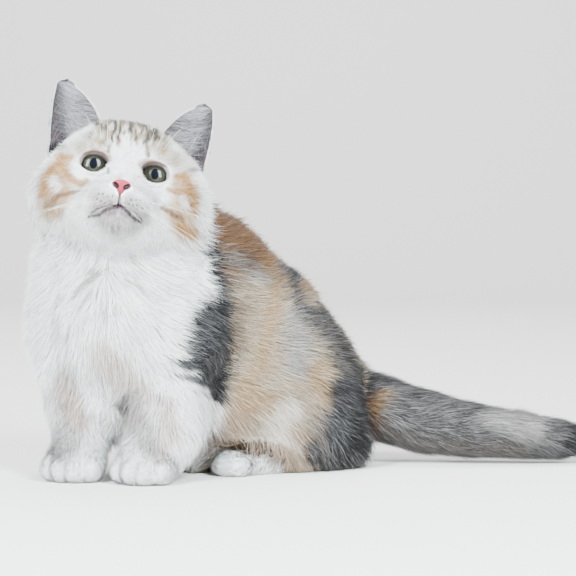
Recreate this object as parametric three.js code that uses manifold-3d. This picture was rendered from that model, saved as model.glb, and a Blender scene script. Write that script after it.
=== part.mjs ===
import * as THREE from "three";
import { mergeVertices } from "three/addons/utils/BufferGeometryUtils.js";
import Module from "manifold-3d";

// A young short-legged munchkin cat, life size, sitting with its tail laid along the floor.
// Millimetres, Z up. X runs to the viewer's right and Y away from the viewer, whom the cat faces.
// The body is a smooth blend of rounded masses, which is meshed and then parted by thin cuts.
// Left and right in names are the cat's own.

const wasm = await Module();
wasm.setup();

// Driving sizes

const GAP = 0.3; // left between touching nodes
const FLOOR = 0; // everything that rests is cut flat here
const HIPS_TURN = 62; // degrees that the hips face away from the viewer
const CHEST_TURN = 17; // degrees that the chest faces away from the viewer
const HEAD_YAW = -4.5;
const HEAD_PITCH = 24; // the cat looks up
const HEAD_ROLL = 10; // its left ear is the lower one
const EYE_LEVEL = [-101, -5, 195.5]; // midway between the eyes
const HIPS = [-4, 105, 0]; // on the floor under the hip joints
const PAWS = [-110, 18, 0]; // on the floor midway between the forepaws
const PAW_SPREAD = 23.5; // from the middle to each forepaw
const HIND_SPREAD = 38; // from the middle to each hind foot
const THIGH_SPREAD = 27;
const EYE_SPREAD = 17.4;
const EYE_RADIUS = 10.4;

// Vectors as plain arrays

const plus = (a, b, k = 1) => [a[0] + b[0] * k, a[1] + b[1] * k, a[2] + b[2] * k];
const minus = (a, b) => plus(a, b, -1);
const dot = (a, b) => a[0] * b[0] + a[1] * b[1] + a[2] * b[2];
const length = (a) => Math.hypot(...a);
const times = (a, k) => [a[0] * k, a[1] * k, a[2] * k];
const unit = (a) => times(a, 1 / length(a));
const cross = (a, b) => [
  a[1] * b[2] - a[2] * b[1],
  a[2] * b[0] - a[0] * b[2],
  a[0] * b[1] - a[1] * b[0],
];
const radians = THREE.MathUtils.degToRad;
const mix = (a, b, t) => a + (b - a) * t;
const clamp = THREE.MathUtils.clamp;
const mixed = (a, b, t) => a.map((x, i) => mix(x, b[i], t));
const round3 = (radius) => [radius, radius, radius];

// A frame is an origin with unit vectors ahead, to the cat's left and up.

function facing(origin, degrees) {
  const a = radians(degrees);
  return {
    origin,
    ahead: [-Math.sin(a), -Math.cos(a), 0],
    left: [Math.cos(a), -Math.sin(a), 0],
    up: [0, 0, 1],
  };
}

// The head's frame: turned about the upright, pitched up about its own left, then rolled about the view.
function headFrame() {
  const level = facing(EYE_LEVEL, HEAD_YAW);
  const roll = radians(HEAD_ROLL);
  const pitch = radians(HEAD_PITCH);
  const left = plus(times(level.left, Math.cos(roll)), level.up, -Math.sin(roll));
  const upright = plus(times(level.up, Math.cos(roll)), level.left, Math.sin(roll));
  return {
    origin: EYE_LEVEL,
    ahead: plus(times(level.ahead, Math.cos(pitch)), upright, Math.sin(pitch)),
    left,
    up: plus(times(upright, Math.cos(pitch)), level.ahead, -Math.sin(pitch)),
  };
}

const inFrame = (frame, [ahead, left, up]) =>
  plus(plus(plus(frame.origin, frame.ahead, ahead), frame.left, left), frame.up, up);
const local = (frame, p) => {
  const d = minus(p, frame.origin);
  return [dot(d, frame.ahead), dot(d, frame.left), dot(d, frame.up)];
};

const head = headFrame();
const chest = facing(PAWS, CHEST_TURN);
const hips = facing(HIPS, HIPS_TURN);
const world = { origin: [0, 0, 0], ahead: [1, 0, 0], left: [0, 1, 0], up: [0, 0, 1] };

// Fields: each gives the distance of a point outside a surface, negative inside.

// An ellipsoid at a place in a frame, with its radii ahead, to the left and up.
function ball(frame, at, radii) {
  const centre = inFrame(frame, at);
  return (p) => {
    const q = local({ ...frame, origin: centre }, p);
    const near = Math.hypot(q[0] / radii[0], q[1] / radii[1], q[2] / radii[2]);
    const slope = Math.hypot(q[0] / radii[0] ** 2, q[1] / radii[1] ** 2, q[2] / radii[2] ** 2);
    return slope < 1e-9 ? -Math.min(...radii) : (near * (near - 1)) / slope;
  };
}

// A limb with round ends whose radius changes evenly from a to b.
function limb(frame, a, ra, b, rb) {
  const start = inFrame(frame, a);
  const way = minus(inFrame(frame, b), start);
  return (p) => {
    const d = minus(p, start);
    const t = clamp(dot(d, way) / dot(way, way), 0, 1);
    return length(plus(d, way, -t)) - mix(ra, rb, t);
  };
}

// Joins fields with a fillet of about the given depth.
function blend(depth, fields) {
  return (p) => {
    let near = Infinity;
    for (const field of fields) {
      const d = field(p);
      const h = Math.max(depth - Math.abs(near - d), 0) / depth;
      near = Math.min(near, d) - (Number.isFinite(near) ? (h * h * depth) / 4 : 0);
    }
    return near;
  };
}

const both = (make) => [make(1), make(-1)];

function slopeOf(field, p, step = 0.5) {
  return [0, 1, 2].map((i) => {
    const more = [...p];
    const less = [...p];
    more[i] += step;
    less[i] -= step;
    return (field(more) - field(less)) / (2 * step);
  });
}

// Moves a point along the field's slope until it lies at the wanted level.
function ontoSurface(field, p, level = 0, rounds = 4) {
  let at = p;
  for (let i = 0; i < rounds; i++) {
    const slope = slopeOf(field, at);
    at = plus(at, slope, (level - field(at)) / Math.max(dot(slope, slope), 0.05));
  }
  return at;
}

// The first point at which a ray from inside meets the surface.
function alongRay(field, from, way, level = 0, reach = 150) {
  let near = 0;
  let far = reach;
  for (let t = 0; t < reach; t += 2) {
    if (field(plus(from, way, t)) > level) {
      far = t;
      near = t - 2;
      break;
    }
  }
  for (let i = 0; i < 12; i++) {
    const t = (near + far) / 2;
    if (field(plus(from, way, t)) > level) far = t;
    else near = t;
  }
  return plus(from, way, (near + far) / 2);
}

// Meshing

// Grid ticks from low to high: `fine` apart between the two focus values and `coarse` apart beyond.
function ticks(low, high, coarse, fine = coarse, focus = [low, high]) {
  const made = [low];
  while (made.at(-1) < high) {
    const at = made.at(-1);
    const away = Math.max(focus[0] - at, at - focus[1], 0);
    made.push(at + clamp(fine + away * 0.35, fine, coarse));
  }
  return made;
}

// A closed mesh of a field's surface by surface nets, on a grid of ticks in a frame: every cell that
// the surface crosses gets one vertex, and every grid edge that it crosses gets one face.
function netMesh(field, frame, grid) {
  const [nx, ny, nz] = grid.map((g) => g.length);
  const place = (i, j, k) => inFrame(frame, [grid[0][i], grid[1][j], grid[2][k]]);
  const index = (i, j, k) => (i * ny + j) * nz + k;
  const inside = (i, j, k) => i > 0 && j > 0 && k > 0 && i < nx - 1 && j < ny - 1 && k < nz - 1;
  const values = new Float32Array(nx * ny * nz);
  for (let i = 0; i < nx; i++)
    for (let j = 0; j < ny; j++)
      for (let k = 0; k < nz; k++)
        values[index(i, j, k)] = inside(i, j, k) ? field(place(i, j, k)) : 1;
  const corners = [0, 1, 2, 3, 4, 5, 6, 7].map((c) => [c & 1, (c >> 1) & 1, (c >> 2) & 1]);
  const edges = corners.flatMap((a, m) =>
    corners.slice(m + 1).filter((b) => length(minus(a, b)) === 1).map((b) => [a, b]),
  );
  const vertices = [];
  const vertexOf = new Map();
  for (let i = 0; i < nx - 1; i++)
    for (let j = 0; j < ny - 1; j++)
      for (let k = 0; k < nz - 1; k++) {
        const crossings = [];
        for (const [a, b] of edges) {
          const va = values[index(i + a[0], j + a[1], k + a[2])];
          const vb = values[index(i + b[0], j + b[1], k + b[2])];
          if (va < 0 === vb < 0) continue;
          const pa = place(i + a[0], j + a[1], k + a[2]);
          const pb = place(i + b[0], j + b[1], k + b[2]);
          crossings.push(mixed(pa, pb, va / (va - vb)));
        }
        if (!crossings.length) continue;
        const middle = times(crossings.reduce((s, c) => plus(s, c), [0, 0, 0]), 1 / crossings.length);
        vertexOf.set(index(i, j, k), vertices.length);
        vertices.push(middle);
      }
  const faces = [];
  const quad = (a, b, c, d, turned) => {
    const [p, q, r, s] = (turned ? [a, d, c, b] : [a, b, c, d]).map((x) => vertexOf.get(x));
    const short = length(minus(vertices[p], vertices[r])) < length(minus(vertices[q], vertices[s]));
    faces.push(...(short ? [p, q, r, p, r, s] : [q, r, s, q, s, p]));
  };
  for (let i = 0; i < nx - 1; i++)
    for (let j = 0; j < ny - 1; j++)
      for (let k = 0; k < nz - 1; k++) {
        const here = values[index(i, j, k)] < 0;
        const at = (di, dj, dk) => index(i - di, j - dj, k - dk);
        if (here !== values[index(i + 1, j, k)] < 0)
          quad(at(0, 1, 1), at(0, 0, 1), at(0, 0, 0), at(0, 1, 0), !here);
        if (here !== values[index(i, j + 1, k)] < 0)
          quad(at(1, 0, 1), at(1, 0, 0), at(0, 0, 0), at(0, 0, 1), !here);
        if (here !== values[index(i, j, k + 1)] < 0)
          quad(at(1, 1, 0), at(0, 1, 0), at(0, 0, 0), at(1, 0, 0), !here);
      }
  return solidFrom(vertices.flat(), faces);
}

// A closed mesh of a field's surface round a centre inside it: the points of a sphere, whose pole leans
// up from straight ahead, are moved along their rays to the surface. Rings crowd towards the pole.
function starMesh(field, frame, centre, { sides, rings, lean = 90, crowd = 0, level = 0 }) {
  const from = inFrame(frame, centre);
  const rise = radians(lean);
  const pole = plus(times(frame.ahead, Math.cos(rise)), frame.up, Math.sin(rise));
  const east = cross(pole, frame.left);
  const sphere = bareOf(new THREE.SphereGeometry(1, sides, rings));
  const spots = sphere.attributes.position;
  for (let i = 0; i < spots.count; i++) {
    const v = Math.acos(clamp(spots.getY(i), -1, 1)) / Math.PI;
    const angle = Math.PI * (v - crowd * v * (1 - v));
    const flat = Math.hypot(spots.getX(i), spots.getZ(i)) + 1e-9;
    const round = plus(times(east, spots.getX(i) / flat), frame.left, spots.getZ(i) / flat);
    const way = plus(times(pole, Math.cos(angle)), round, Math.sin(angle));
    spots.setXYZ(i, ...alongRay(field, from, way, level));
  }
  return solidFrom(spots.array, sphere.index.array);
}

// A geometry with nothing but its points, each of them shared by its faces.
function bareOf(geometry) {
  geometry.deleteAttribute("normal");
  geometry.deleteAttribute("uv");
  return mergeVertices(geometry, 1e-4);
}

function solidFrom(places, faces) {
  const vertProperties = new Float32Array(places);
  const triVerts = new Uint32Array(faces);
  return new wasm.Manifold(new wasm.Mesh({ numProp: 3, vertProperties, triVerts }));
}

// A three.js geometry, which has to be closed, as a solid.
function solidOf(geometry, matrix = new THREE.Matrix4()) {
  const bare = bareOf(geometry.clone().applyMatrix4(matrix));
  return solidFrom(bare.attributes.position.array, bare.index.array);
}

// The matrix that carries a frame's ahead, left and up onto a geometry's X, Y and Z, at a place in it.
function matrixIn(frame, at = [0, 0, 0]) {
  const [a, l, u] = [frame.ahead, frame.left, frame.up].map((v) => new THREE.Vector3(...v));
  return new THREE.Matrix4().makeBasis(a, l, u).setPosition(...inFrame(frame, at));
}

// An ellipsoid as a cutter.
function ballSolid(frame, at, radii, sides = 20) {
  const sphere = new THREE.SphereGeometry(1, sides, Math.round(sides * 0.7));
  return solidOf(sphere.scale(...radii), matrixIn(frame, at));
}

// A piece keeps only its largest closed surface.
function largest(solid) {
  return solid.decompose().reduce((a, b) => (b.volume() > a.volume() ? b : a));
}

const cut = (solid, ...others) => others.reduce((left, other) => left.subtract(other), solid);
const aboveFloor = (solid) => solid.trimByPlane([0, 0, 1], FLOOR);

// What lies beyond a plane through a point, half a gap away from it.
function beyond(solid, normal, point) {
  return solid.trimByPlane(normal, dot(normal, point) + GAP / 2);
}

// Body masses

const withers = ball(world, [-58, 60, 122], [50, 46, 49]);
const back = ball(world, [-24, 84, 90], [49, 49, 49]);
const rump = ball(hips, [-3, 0, 56], [50, 50, 50]);
const belly = ball(world, [-48, 72, 50], [56, 42, 42]);
const breast = ball(chest, [-19, -4, 104], [43, 60, 56]);
const throat = ball(chest, [-12, -5, 142], [38, 51, 33]);
const nape = ball(world, [-90, 48, 158], [38, 37, 35]);
const underside = ball(world, [-66, 86, 20], [34, 34, 24]); // the fluff that lies on the floor

const thigh = (side) => ball(hips, [8, side * THIGH_SPREAD, 44], [42, 28, 48]);
const heelFluff = (side) => ball(hips, [-20, side * 31, 16], [29, 22, 23]);
const foot = (side) => limb(hips, [8, side * HIND_SPREAD, 9], 11, [58, side * HIND_SPREAD, 8], 9.7);

// Four toes side by side, the middle two ahead.
function toes(frame, tip, spread, radius, side) {
  return [-1.5, -0.5, 0.5, 1.5].map((n) => {
    const setBack = Math.abs(n) > 1 ? radius * 0.6 : 0;
    return ball(frame, plus(tip, [-setBack, n * spread * side, 0]), [radius * 1.3, radius * 0.82, radius]);
  });
}

const forearm = (side) =>
  limb(chest, [-2, side * PAW_SPREAD, 20], 16.5, [-22, side * (PAW_SPREAD + 4), 50], 25);
const upperArm = (side) =>
  limb(chest, [-22, side * (PAW_SPREAD + 4), 50], 25, [-26, side * 30, 84], 34);
const elbowFluff = ball(chest, [-10, 35, 34], [22, 22, 26]); // it shows on the left, where the leg turns out
const forepaw = (side) =>
  blend(2.5, [
    ball(chest, [3, side * PAW_SPREAD, 11], [18, 17.5, 14]),
    ...toes(chest, [16, side * PAW_SPREAD, 8], 9.2, 8.5, side),
  ]);
const hindpaw = (side) =>
  blend(2.5, [foot(side), ...toes(hips, [60, side * HIND_SPREAD, 6.6], 6.4, 7, side)]);

const torso = [withers, back, rump, belly, breast, throat, nape, underside];
const trunk = blend(16, [...torso, ...both(thigh), ...both(heelFluff)]);
const forelegs = blend(12, [...both(forearm), ...both(upperArm), elbowFluff]);
const paws = (p) => Math.min(...both(forepaw).map((f) => f(p)), ...both(hindpaw).map((f) => f(p)));
const body = blend(7, [blend(14, [trunk, forelegs]), paws]);

// The tail: places along its middle, with the radius at each out to the tips of the coat.
const TAIL = [
  { at: [14, 128, 54], radius: 22 },
  { at: [36, 123, 46], radius: 25 },
  { at: [64, 117, 36], radius: 26 },
  { at: [92, 114, 27.5], radius: 25 },
  { at: [124, 112, 22], radius: 22.5 },
  { at: [158, 110, 19], radius: 19.7 },
  { at: [184, 110, 16.5], radius: 17 },
  { at: [204, 110.5, 15], radius: 12.5 },
  { at: [217, 111, 14], radius: 6.5 },
];
const tailPath = new THREE.CatmullRomCurve3(TAIL.map(({ at }) => new THREE.Vector3(...at)));

// The middle of the tail and its radius at u from the root, 0, to the tip, 1.
function tailAt(u) {
  const step = clamp(u * (TAIL.length - 1), 0, TAIL.length - 1.001);
  const i = Math.floor(step);
  const ease = step - i;
  return { at: tailPath.getPoint(u).toArray(), radius: mix(TAIL[i].radius, TAIL[i + 1].radius, ease) };
}

// The solid under the tail's locks.
const TAIL_COAT = 4.5;

function tailSolid(grow, lengths = 16, sides = 12) {
  const stations = Array.from({ length: lengths + 1 }, (_, i) => tailAt(i / lengths));
  const first = plus(stations[0].at, [-10 - grow, 3, 6]);
  const last = plus(stations.at(-1).at, [3 + grow, 0, 0]);
  const radii = [0, ...stations.map(({ radius }) => Math.max(radius - TAIL_COAT, 3) + grow), 0];
  return aboveFloor(bar([first, ...stations.map(({ at }) => at), last], radii, sides));
}

const tailField = blend(
  4,
  TAIL.slice(1).map((b, i) =>
    limb(world, TAIL[i].at, TAIL[i].radius - TAIL_COAT, b.at, Math.max(b.radius - TAIL_COAT, 3)),
  ),
);

// Head masses, in the head's frame: ahead, left, up from midway between the eyes

const EYE_AT = (side) => [-8.6, side * EYE_SPREAD, 1.2];
const skull = ball(head, [-32, 0, 4], [42, 45, 40]);
const cheek = (side) => ball(head, [-22, side * 32.3, -14.5], [27, 24.5, 24]);
const temple = ball(head, [-29, 35, 3], [20, 15, 20]); // fuller fur beside the left ear
const brow = (side) => ball(head, [-11, side * 17, 12], [12, 14, 11]);
const bridge = limb(head, [-3, 0, 6], 12, [12, 0, -17], 8);
const pad = (side) => ball(head, [7, side * 9, -26], [13, 13, 10.5]);
const chin = ball(head, [4, 0, -38], [11, 12, 9]);
const jaw = ball(head, [-16, 0, -29], [25, 28, 19]);
const lidBall = (side) => ball(head, EYE_AT(side), round3(EYE_RADIUS + 1.3));
const headField = blend(5, [
  blend(12, [skull, ...both(cheek), temple, jaw, ...both(brow)]),
  blend(5, [bridge, ...both(pad), chin]),
  ...both(lidBall),
]);

// The nose leather: a pad that narrows to a point below, with a wing round each nostril.
const nosePad = blend(2, [
  ball(head, [17.5, 0, -18], [3.2, 4.6, 3]),
  ball(head, [17.2, 0, -21.5], [3.4, 2.6, 3.4]),
  ...both((side) => ball(head, [16.4, side * 3.9, -19], [3, 2.3, 2.4])),
]);
const nostril = (side) => ({ at: [20, side * 3.4, -20.2], radii: [3, 1.3, 1] });

// Where a straight line ahead leaves the head, at a distance to the left and up.
const faceAt = (left, up) => alongRay(headField, inFrame(head, [-16, left, up]), head.ahead);

// Ears: a cupped sheet between an outer and an inner edge, closed by a round cap at the tip.
const EAR = {
  outer: [[-34, 48, 8], [-31, 54, 50], [-34, 50, 66.5]],
  inner: [[-26, 15, 35], [-25, 26.5, 58.5], [-34, 37.5, 67.5]],
  lean: 2.4, // how far the tip of the right ear stands out further than the left one's
  cap: 5, // the height of the round tip
  cup: 13,
  thick: 2.6,
  root: 9, // how far it runs on below its base, into the head
};
const bezier = ([a, b, c], t) => mixed(mixed(a, b, t), mixed(b, c, t), t);

// The front of the ear at s across, from the inner edge to the outer, and t up, in the head's frame.
// Beyond t = 1 it draws in round the cap.
function earPoint(side, s, t) {
  const turn = (Math.max(t - 1, 0) * Math.PI) / 2;
  const narrow = mix(0.5, s, Math.cos(turn));
  const low = Math.min(t, 1);
  const across = mixed(bezier(EAR.inner, low), bezier(EAR.outer, low), narrow);
  const hollow = EAR.cup * Math.sin(Math.PI * s) * (1.05 - low) ** 0.7 * Math.cos(turn);
  const lean = side < 0 ? EAR.lean * low * low : 0;
  return [across[0] - hollow, side * (across[1] + lean), across[2] + EAR.cap * Math.sin(turn)];
}

function earSolid(side, columns = 8, heights = [0, 0, 0.2, 0.4, 0.6, 0.8, 1, 1.4, 1.8]) {
  const places = [];
  const faces = [];
  const rows = heights.length - 1;
  const sheet = (thick) => {
    heights.forEach((t, j) => {
      for (let i = 0; i <= columns; i++) {
        const s = i / columns;
        const rim = Math.sqrt(Math.max(1 - (2 * s - 1) ** 6, 0.05)) * thick;
        places.push(inFrame(head, plus(earPoint(side, s, t), [-rim, 0, j ? 0 : -EAR.root])));
      }
    });
  };
  sheet(0);
  sheet(EAR.thick);
  const wide = columns + 1;
  const back = wide * (rows + 1);
  const quad = (a, b, c, d) => faces.push(...(side > 0 ? [a, b, c, a, c, d] : [a, c, b, a, d, c]));
  for (let j = 0; j < rows; j++)
    for (let i = 0; i < columns; i++) {
      const a = j * wide + i;
      quad(a, a + 1, a + 1 + wide, a + wide);
      quad(back + a + wide, back + a + 1 + wide, back + a + 1, back + a);
    }
  for (let i = 0; i < columns; i++) {
    const top = rows * wide + i;
    quad(i + 1, i, back + i, back + i + 1);
    quad(top, top + 1, back + top + 1, back + top);
  }
  for (let j = 0; j < rows; j++) {
    const a = j * wide;
    const b = a + columns;
    quad(a, a + wide, back + a + wide, back + a);
    quad(b + wide, b, back + b, back + b + wide);
  }
  return solidFrom(places.flat(), faces);
}

// A flaring plug of the almond between the lids, from inside the eyeball out, which it cuts open.
const EYE_OPENING = { wide: 8.8, above: 6.5, below: 6.6, slant: 10, outward: 8, down: 5 };

function openingSolid(side, points = 18) {
  const out = radians(EYE_OPENING.outward);
  const low = radians(EYE_OPENING.down);
  const tilt = radians(EYE_OPENING.slant) * side;
  const look = [Math.cos(out) * Math.cos(low), side * Math.sin(out), -Math.sin(low)];
  const across = unit([-look[1], look[0], 0]);
  const upward = cross(look, across);
  const ringAt = (depth, flare) =>
    Array.from({ length: points }, (_, i) => {
      const turn = (2 * Math.PI * i) / points;
      const x = EYE_OPENING.wide * flare * Math.cos(turn);
      const y = (Math.sin(turn) > 0 ? EYE_OPENING.above : EYE_OPENING.below) * flare * Math.sin(turn);
      const right = x * Math.cos(tilt) - y * Math.sin(tilt);
      const rise = y * Math.cos(tilt) + x * Math.sin(tilt);
      return plus(plus(plus(EYE_AT(side), look, depth), across, right), upward, rise);
    });
  const ends = [plus(EYE_AT(side), look, 4), plus(EYE_AT(side), look, 18)];
  const places = [...ends, ...ringAt(4, 0.96), ...ringAt(18, 1.12)];
  const faces = [];
  for (let i = 0; i < points; i++) {
    const a = 2 + i;
    const b = 2 + ((i + 1) % points);
    faces.push(0, b, a, a, b, b + points, a, b + points, a + points, 1, a + points, b + points);
  }
  return solidFrom(places.flatMap((p) => inFrame(head, p)), faces);
}

// A round bar along points, drawn to a point at both ends. Its radius at each point is a number or a list.
function bar(points, radii, sides = 6) {
  const places = [points[0]];
  points.slice(1, -1).forEach((p, i) => {
    const way = unit(minus(points[i + 2], points[i]));
    const across = unit(cross(way, [0, 0, 1]));
    const upward = cross(across, way);
    const radius = radii[i + 1] ?? radii;
    for (let k = 0; k < sides; k++) {
      const turn = (2 * Math.PI * k) / sides;
      places.push(plus(plus(p, across, radius * Math.cos(turn)), upward, radius * Math.sin(turn)));
    }
  });
  places.push(points.at(-1));
  const last = places.length - 1;
  const faces = [];
  for (let k = 0; k < sides; k++) {
    const next = (k + 1) % sides;
    faces.push(0, 1 + k, 1 + next);
    for (let j = 1; j + sides < last; j += sides)
      faces.push(j + k, j + sides + next, j + next, j + k, j + sides + k, j + sides + next);
    faces.push(last, last - sides + next, last - sides + k);
  }
  return solidFrom(places.flat(), faces);
}

// The line of the mouth, from one corner to the other, and the cleft from the nose down to its middle.
const MOUTH = { half: 15, middle: -31.5, corner: -37.5, top: -24.5 };
const mouthLine = Array.from({ length: 11 }, (_, i) => {
  const q = i / 5 - 1;
  return faceAt(q * MOUTH.half, mix(MOUTH.middle, MOUTH.corner, Math.abs(q) ** 1.4));
});
const cleftLine = [0, 0.33, 0.67, 1].map((t) => faceAt(0, mix(MOUTH.top, MOUTH.middle, t)));

// Locks of the long coat

// Numbers from 0 to 1 that are the same on every run.
function seeded(state) {
  return () => {
    state = (state * 1664525 + 1013904223) % 4294967296;
    return state / 4294967296;
  };
}

// A flat lock of a diamond section. It starts below the surface of a field, lies along it in the way
// the coat grows and rises to its tip. One that hangs leaves the surface where that turns away.
function lock(field, root, flow, { long, wide, thick, lift, sink = 3, hangs = false }) {
  const stations = [
    { t: 0, height: -sink, size: 0.85 },
    { t: 0.36, height: lift * 0.45, size: 1 },
    { t: 0.72, height: lift * 0.82, size: 0.62 },
    { t: 1, height: lift, size: 0 },
  ];
  const start = unit(slopeOf(field, root));
  const way = unit(plus(flow, start, -dot(flow, start)));
  const spine = stations.map(({ t, height }) => {
    const straight = plus(plus(root, hangs ? unit(flow) : way, long * t), start, height);
    return hangs && t && field(straight) > height ? straight : ontoSurface(field, straight, height);
  });
  const rings = stations.slice(0, 3).map(({ size }, i) => {
    const along = unit(minus(spine[i + 1], spine[i]));
    const across = unit(cross(along, slopeOf(field, spine[i])));
    const out = cross(across, along);
    const half = (wide * size) / 2;
    const deep = (thick * size) / 2;
    return [
      plus(spine[i], across, half),
      plus(spine[i], out, deep),
      plus(spine[i], across, -half),
      plus(spine[i], out, -deep),
    ];
  });
  const places = [...rings.flat(), spine[3]];
  const faces = [0, 1, 2, 0, 2, 3];
  for (let k = 0; k < 4; k++) {
    const next = (k + 1) % 4;
    for (const j of [0, 4]) faces.push(j + k, j + 4 + k, j + 4 + next, j + k, j + 4 + next, j + next);
    faces.push(8 + k, 12, 8 + next);
  }
  const solid = solidFrom(places.flat(), faces);
  return solid.volume() > 0 ? solid : solidFrom(places.flat(), faces.toReversed());
}

// The field that the locks lie on: the whole cat without them.
const surface = blend(5, [body, headField, tailField]);

// Rows of locks down the chest, each row set half a lock aside from the one above.
function chestLocks() {
  const random = seeded(7);
  const rows = [
    { height: 140, half: 74, count: 7 },
    { height: 124, half: 80, count: 7 },
    { height: 108, half: 74, count: 7 },
    { height: 94, half: 56, count: 6 },
    { height: 87, half: 20, count: 2 },
  ];
  return rows.flatMap(({ height, half, count }) =>
    Array.from({ length: count }, (_, i) => {
      const angle = radians(mix(-half, half, (i + 0.5) / count) + (random() - 0.5) * 6);
      const way = plus(times(chest.ahead, Math.cos(angle)), chest.left, Math.sin(angle));
      const from = inFrame(chest, [-30, -4, height + (random() - 0.5) * 6]);
      const flow = plus([0, 0, -1], chest.left, Math.sin(angle) * 0.25 + (random() - 0.5) * 0.3);
      const size = { long: mix(25, 32, random()), wide: mix(13, 16, random()), thick: 5 };
      return lock(surface, alongRay(surface, from, way), flow, { ...size, lift: mix(5, 6.5, random()) });
    }),
  );
}

// Rings of locks along the tail from one place along it to another, laid towards its tip.
function tailLocks(places, seed) {
  const random = seeded(seed);
  return places.flatMap((x, row) => {
    const steps = Array.from({ length: 101 }, (_, i) => tailAt(i / 100));
    const near = steps.reduce((a, b) => (Math.abs(b.at[0] - x) < Math.abs(a.at[0] - x) ? b : a));
    const count = near.radius > 15 ? 5 : 4;
    return Array.from({ length: count }, (_, i) => {
      const turn = 2 * Math.PI * ((i + (row % 2) / 2 + (random() - 0.5) * 0.25) / count);
      const way = [0, Math.sin(turn), Math.cos(turn)];
      const size = {
        long: mix(20, 25, random()),
        wide: near.radius * 0.72,
        thick: 4.5,
        lift: Math.min(TAIL_COAT, near.at[2] - 9) * mix(0.85, 1.1, random()),
      };
      return lock(tailField, alongRay(tailField, near.at, way), [1, 0, -0.1], size);
    });
  });
}

// Locks at places round a frame's centre, given as turns from ahead to the left and rises.
function fringe(frame, centre, spots, flow, size, seed) {
  const random = seeded(seed);
  return spots.map(([turn, rise]) => {
    const [a, r] = [radians(turn), radians(rise)];
    const level = plus(times(frame.ahead, Math.cos(a)), frame.left, Math.sin(a));
    const way = plus(times(level, Math.cos(r)), frame.up, Math.sin(r));
    const root = alongRay(surface, inFrame(frame, centre), way);
    const stray = plus(flow, level, (random() - 0.5) * 0.3);
    return lock(surface, root, stray, { ...size, long: size.long * mix(0.85, 1.15, random()) });
  });
}

// Assembly

const cat = new THREE.Group();

function material(colour, roughness) {
  return new THREE.MeshStandardMaterial({ color: colour, roughness, metalness: 0 });
}
const whiteCoat = material(0xf2eee8, 0.9);
const creamCoat = material(0xcdb196, 0.9);
const greyCoat = material(0x6d6762, 0.9);
const noseSkin = material(0xd98a88, 0.5);
const eyeGlass = material(0x6f7a5c, 0.05);

const join = (solid, others) => others.reduce((whole, other) => whole.add(other), solid);

function add(name, solid, look) {
  const mesh = largest(aboveFloor(solid)).getMesh();
  const geometry = new THREE.BufferGeometry();
  geometry.setAttribute("position", new THREE.BufferAttribute(mesh.vertProperties, mesh.numProp));
  geometry.setIndex(new THREE.BufferAttribute(mesh.triVerts, 1));
  geometry.computeVertexNormals();
  const piece = new THREE.Mesh(geometry, look);
  piece.name = name;
  cat.add(piece);
}

// The head and what sits in it

const HEAD_RINGS = { sides: 28, rings: 23, lean: -18, crowd: 0.45 };
const headAt = (level, net = HEAD_RINGS) => starMesh(headField, head, [-22, 0, -6], { ...net, level });
const noseAt = (level) => starMesh(nosePad, head, [17, 0, -19.4], { sides: 12, rings: 8, lean: 0, level });
const eyeball = (side, radius) => ballSolid(head, EYE_AT(side), round3(radius), 14);

const face = cut(
  headAt(0).add(bar(mouthLine, 1.4)),
  ...both((side) => eyeball(side, EYE_RADIUS + GAP)),
  ...both(openingSolid),
  noseAt(GAP),
  bar(mouthLine, 0.8),
  bar(cleftLine, 0.6),
);
const mirrored = (side, spots) => spots.map(([turn, rise]) => [side * turn, rise]);
const cheekSpots = [[66, -14], [84, -24], [102, -20], [120, -22], [92, -4]];
const cheekSize = { long: 17, wide: 14, thick: 5, lift: 2, hangs: true };
const cheekLocks = both((side) => {
  const flow = plus(plus([0, 0, -1], head.left, side * 0.12), head.ahead, -0.25);
  return fringe(head, [-22, 0, -12], mirrored(side, cheekSpots), flow, cheekSize, 11 + side);
}).flat();
const jawSpots = [-48, -24, 0, 24, 48].map((turn, i) => [turn, -56 - (i % 2) * 4]);
const jawSize = { long: 13, wide: 14, thick: 4.5, lift: 3, hangs: true };
const jawLocks = fringe(head, [-22, 0, -12], jawSpots, [0, 0, -1], jawSize, 21);
add("head", join(face, [...cheekLocks, ...jawLocks]), whiteCoat);
const nostrils = both((side) => ballSolid(head, nostril(side).at, nostril(side).radii, 6));
add("nose", cut(noseAt(0), ...nostrils), noseSkin);
const headGrown = headAt(GAP);
both((side) => {
  const name = side > 0 ? "left" : "right";
  add("eye_" + name, eyeball(side, EYE_RADIUS), eyeGlass);
  add("ear_" + name, cut(earSolid(side), headGrown), creamCoat);
});

// The cuts that part the trunk, and the cutters round each limb

const SHOULDER_CUT = { normal: unit([0.8, 0.5, -0.33]), point: [-62, 52, 108] };
const LOIN_CUT = { normal: unit([0.72, 0.45, -0.53]), point: [-14, 88, 78] };
const NECK_CUT = { normal: unit([0.27, 0.87, 0.42]), point: [-98, 56, 150] };
const TAIL_CUTS = [88, 150];
const WRIST = 26;

const grown = (radii, grow) => radii.map((r) => r + grow);
const armMiddle = { 1: 28, [-1]: 23.5 };
const armRadii = { 1: [41, 33, 56], [-1]: [41, 30, 56] };
const armCutter = (side, grow) =>
  ballSolid(chest, [-10, side * armMiddle[side], 30], grown(armRadii[side], grow), 14);
const thighCutter = (side, grow) =>
  ballSolid(hips, [8, side * 47, 40], grown([46, 34, 52], grow), 14);
const footCutter = (side, grow) =>
  ballSolid(hips, [36, side * HIND_SPREAD, 6], grown([48, 18, 18], grow), 12);

const beyondCut = (solid, { normal, point }) => beyond(solid, normal, point);
const beforeCut = (solid, { normal, point }) => beyond(solid, times(normal, -1), point);

// The tail, in three lengths

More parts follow.
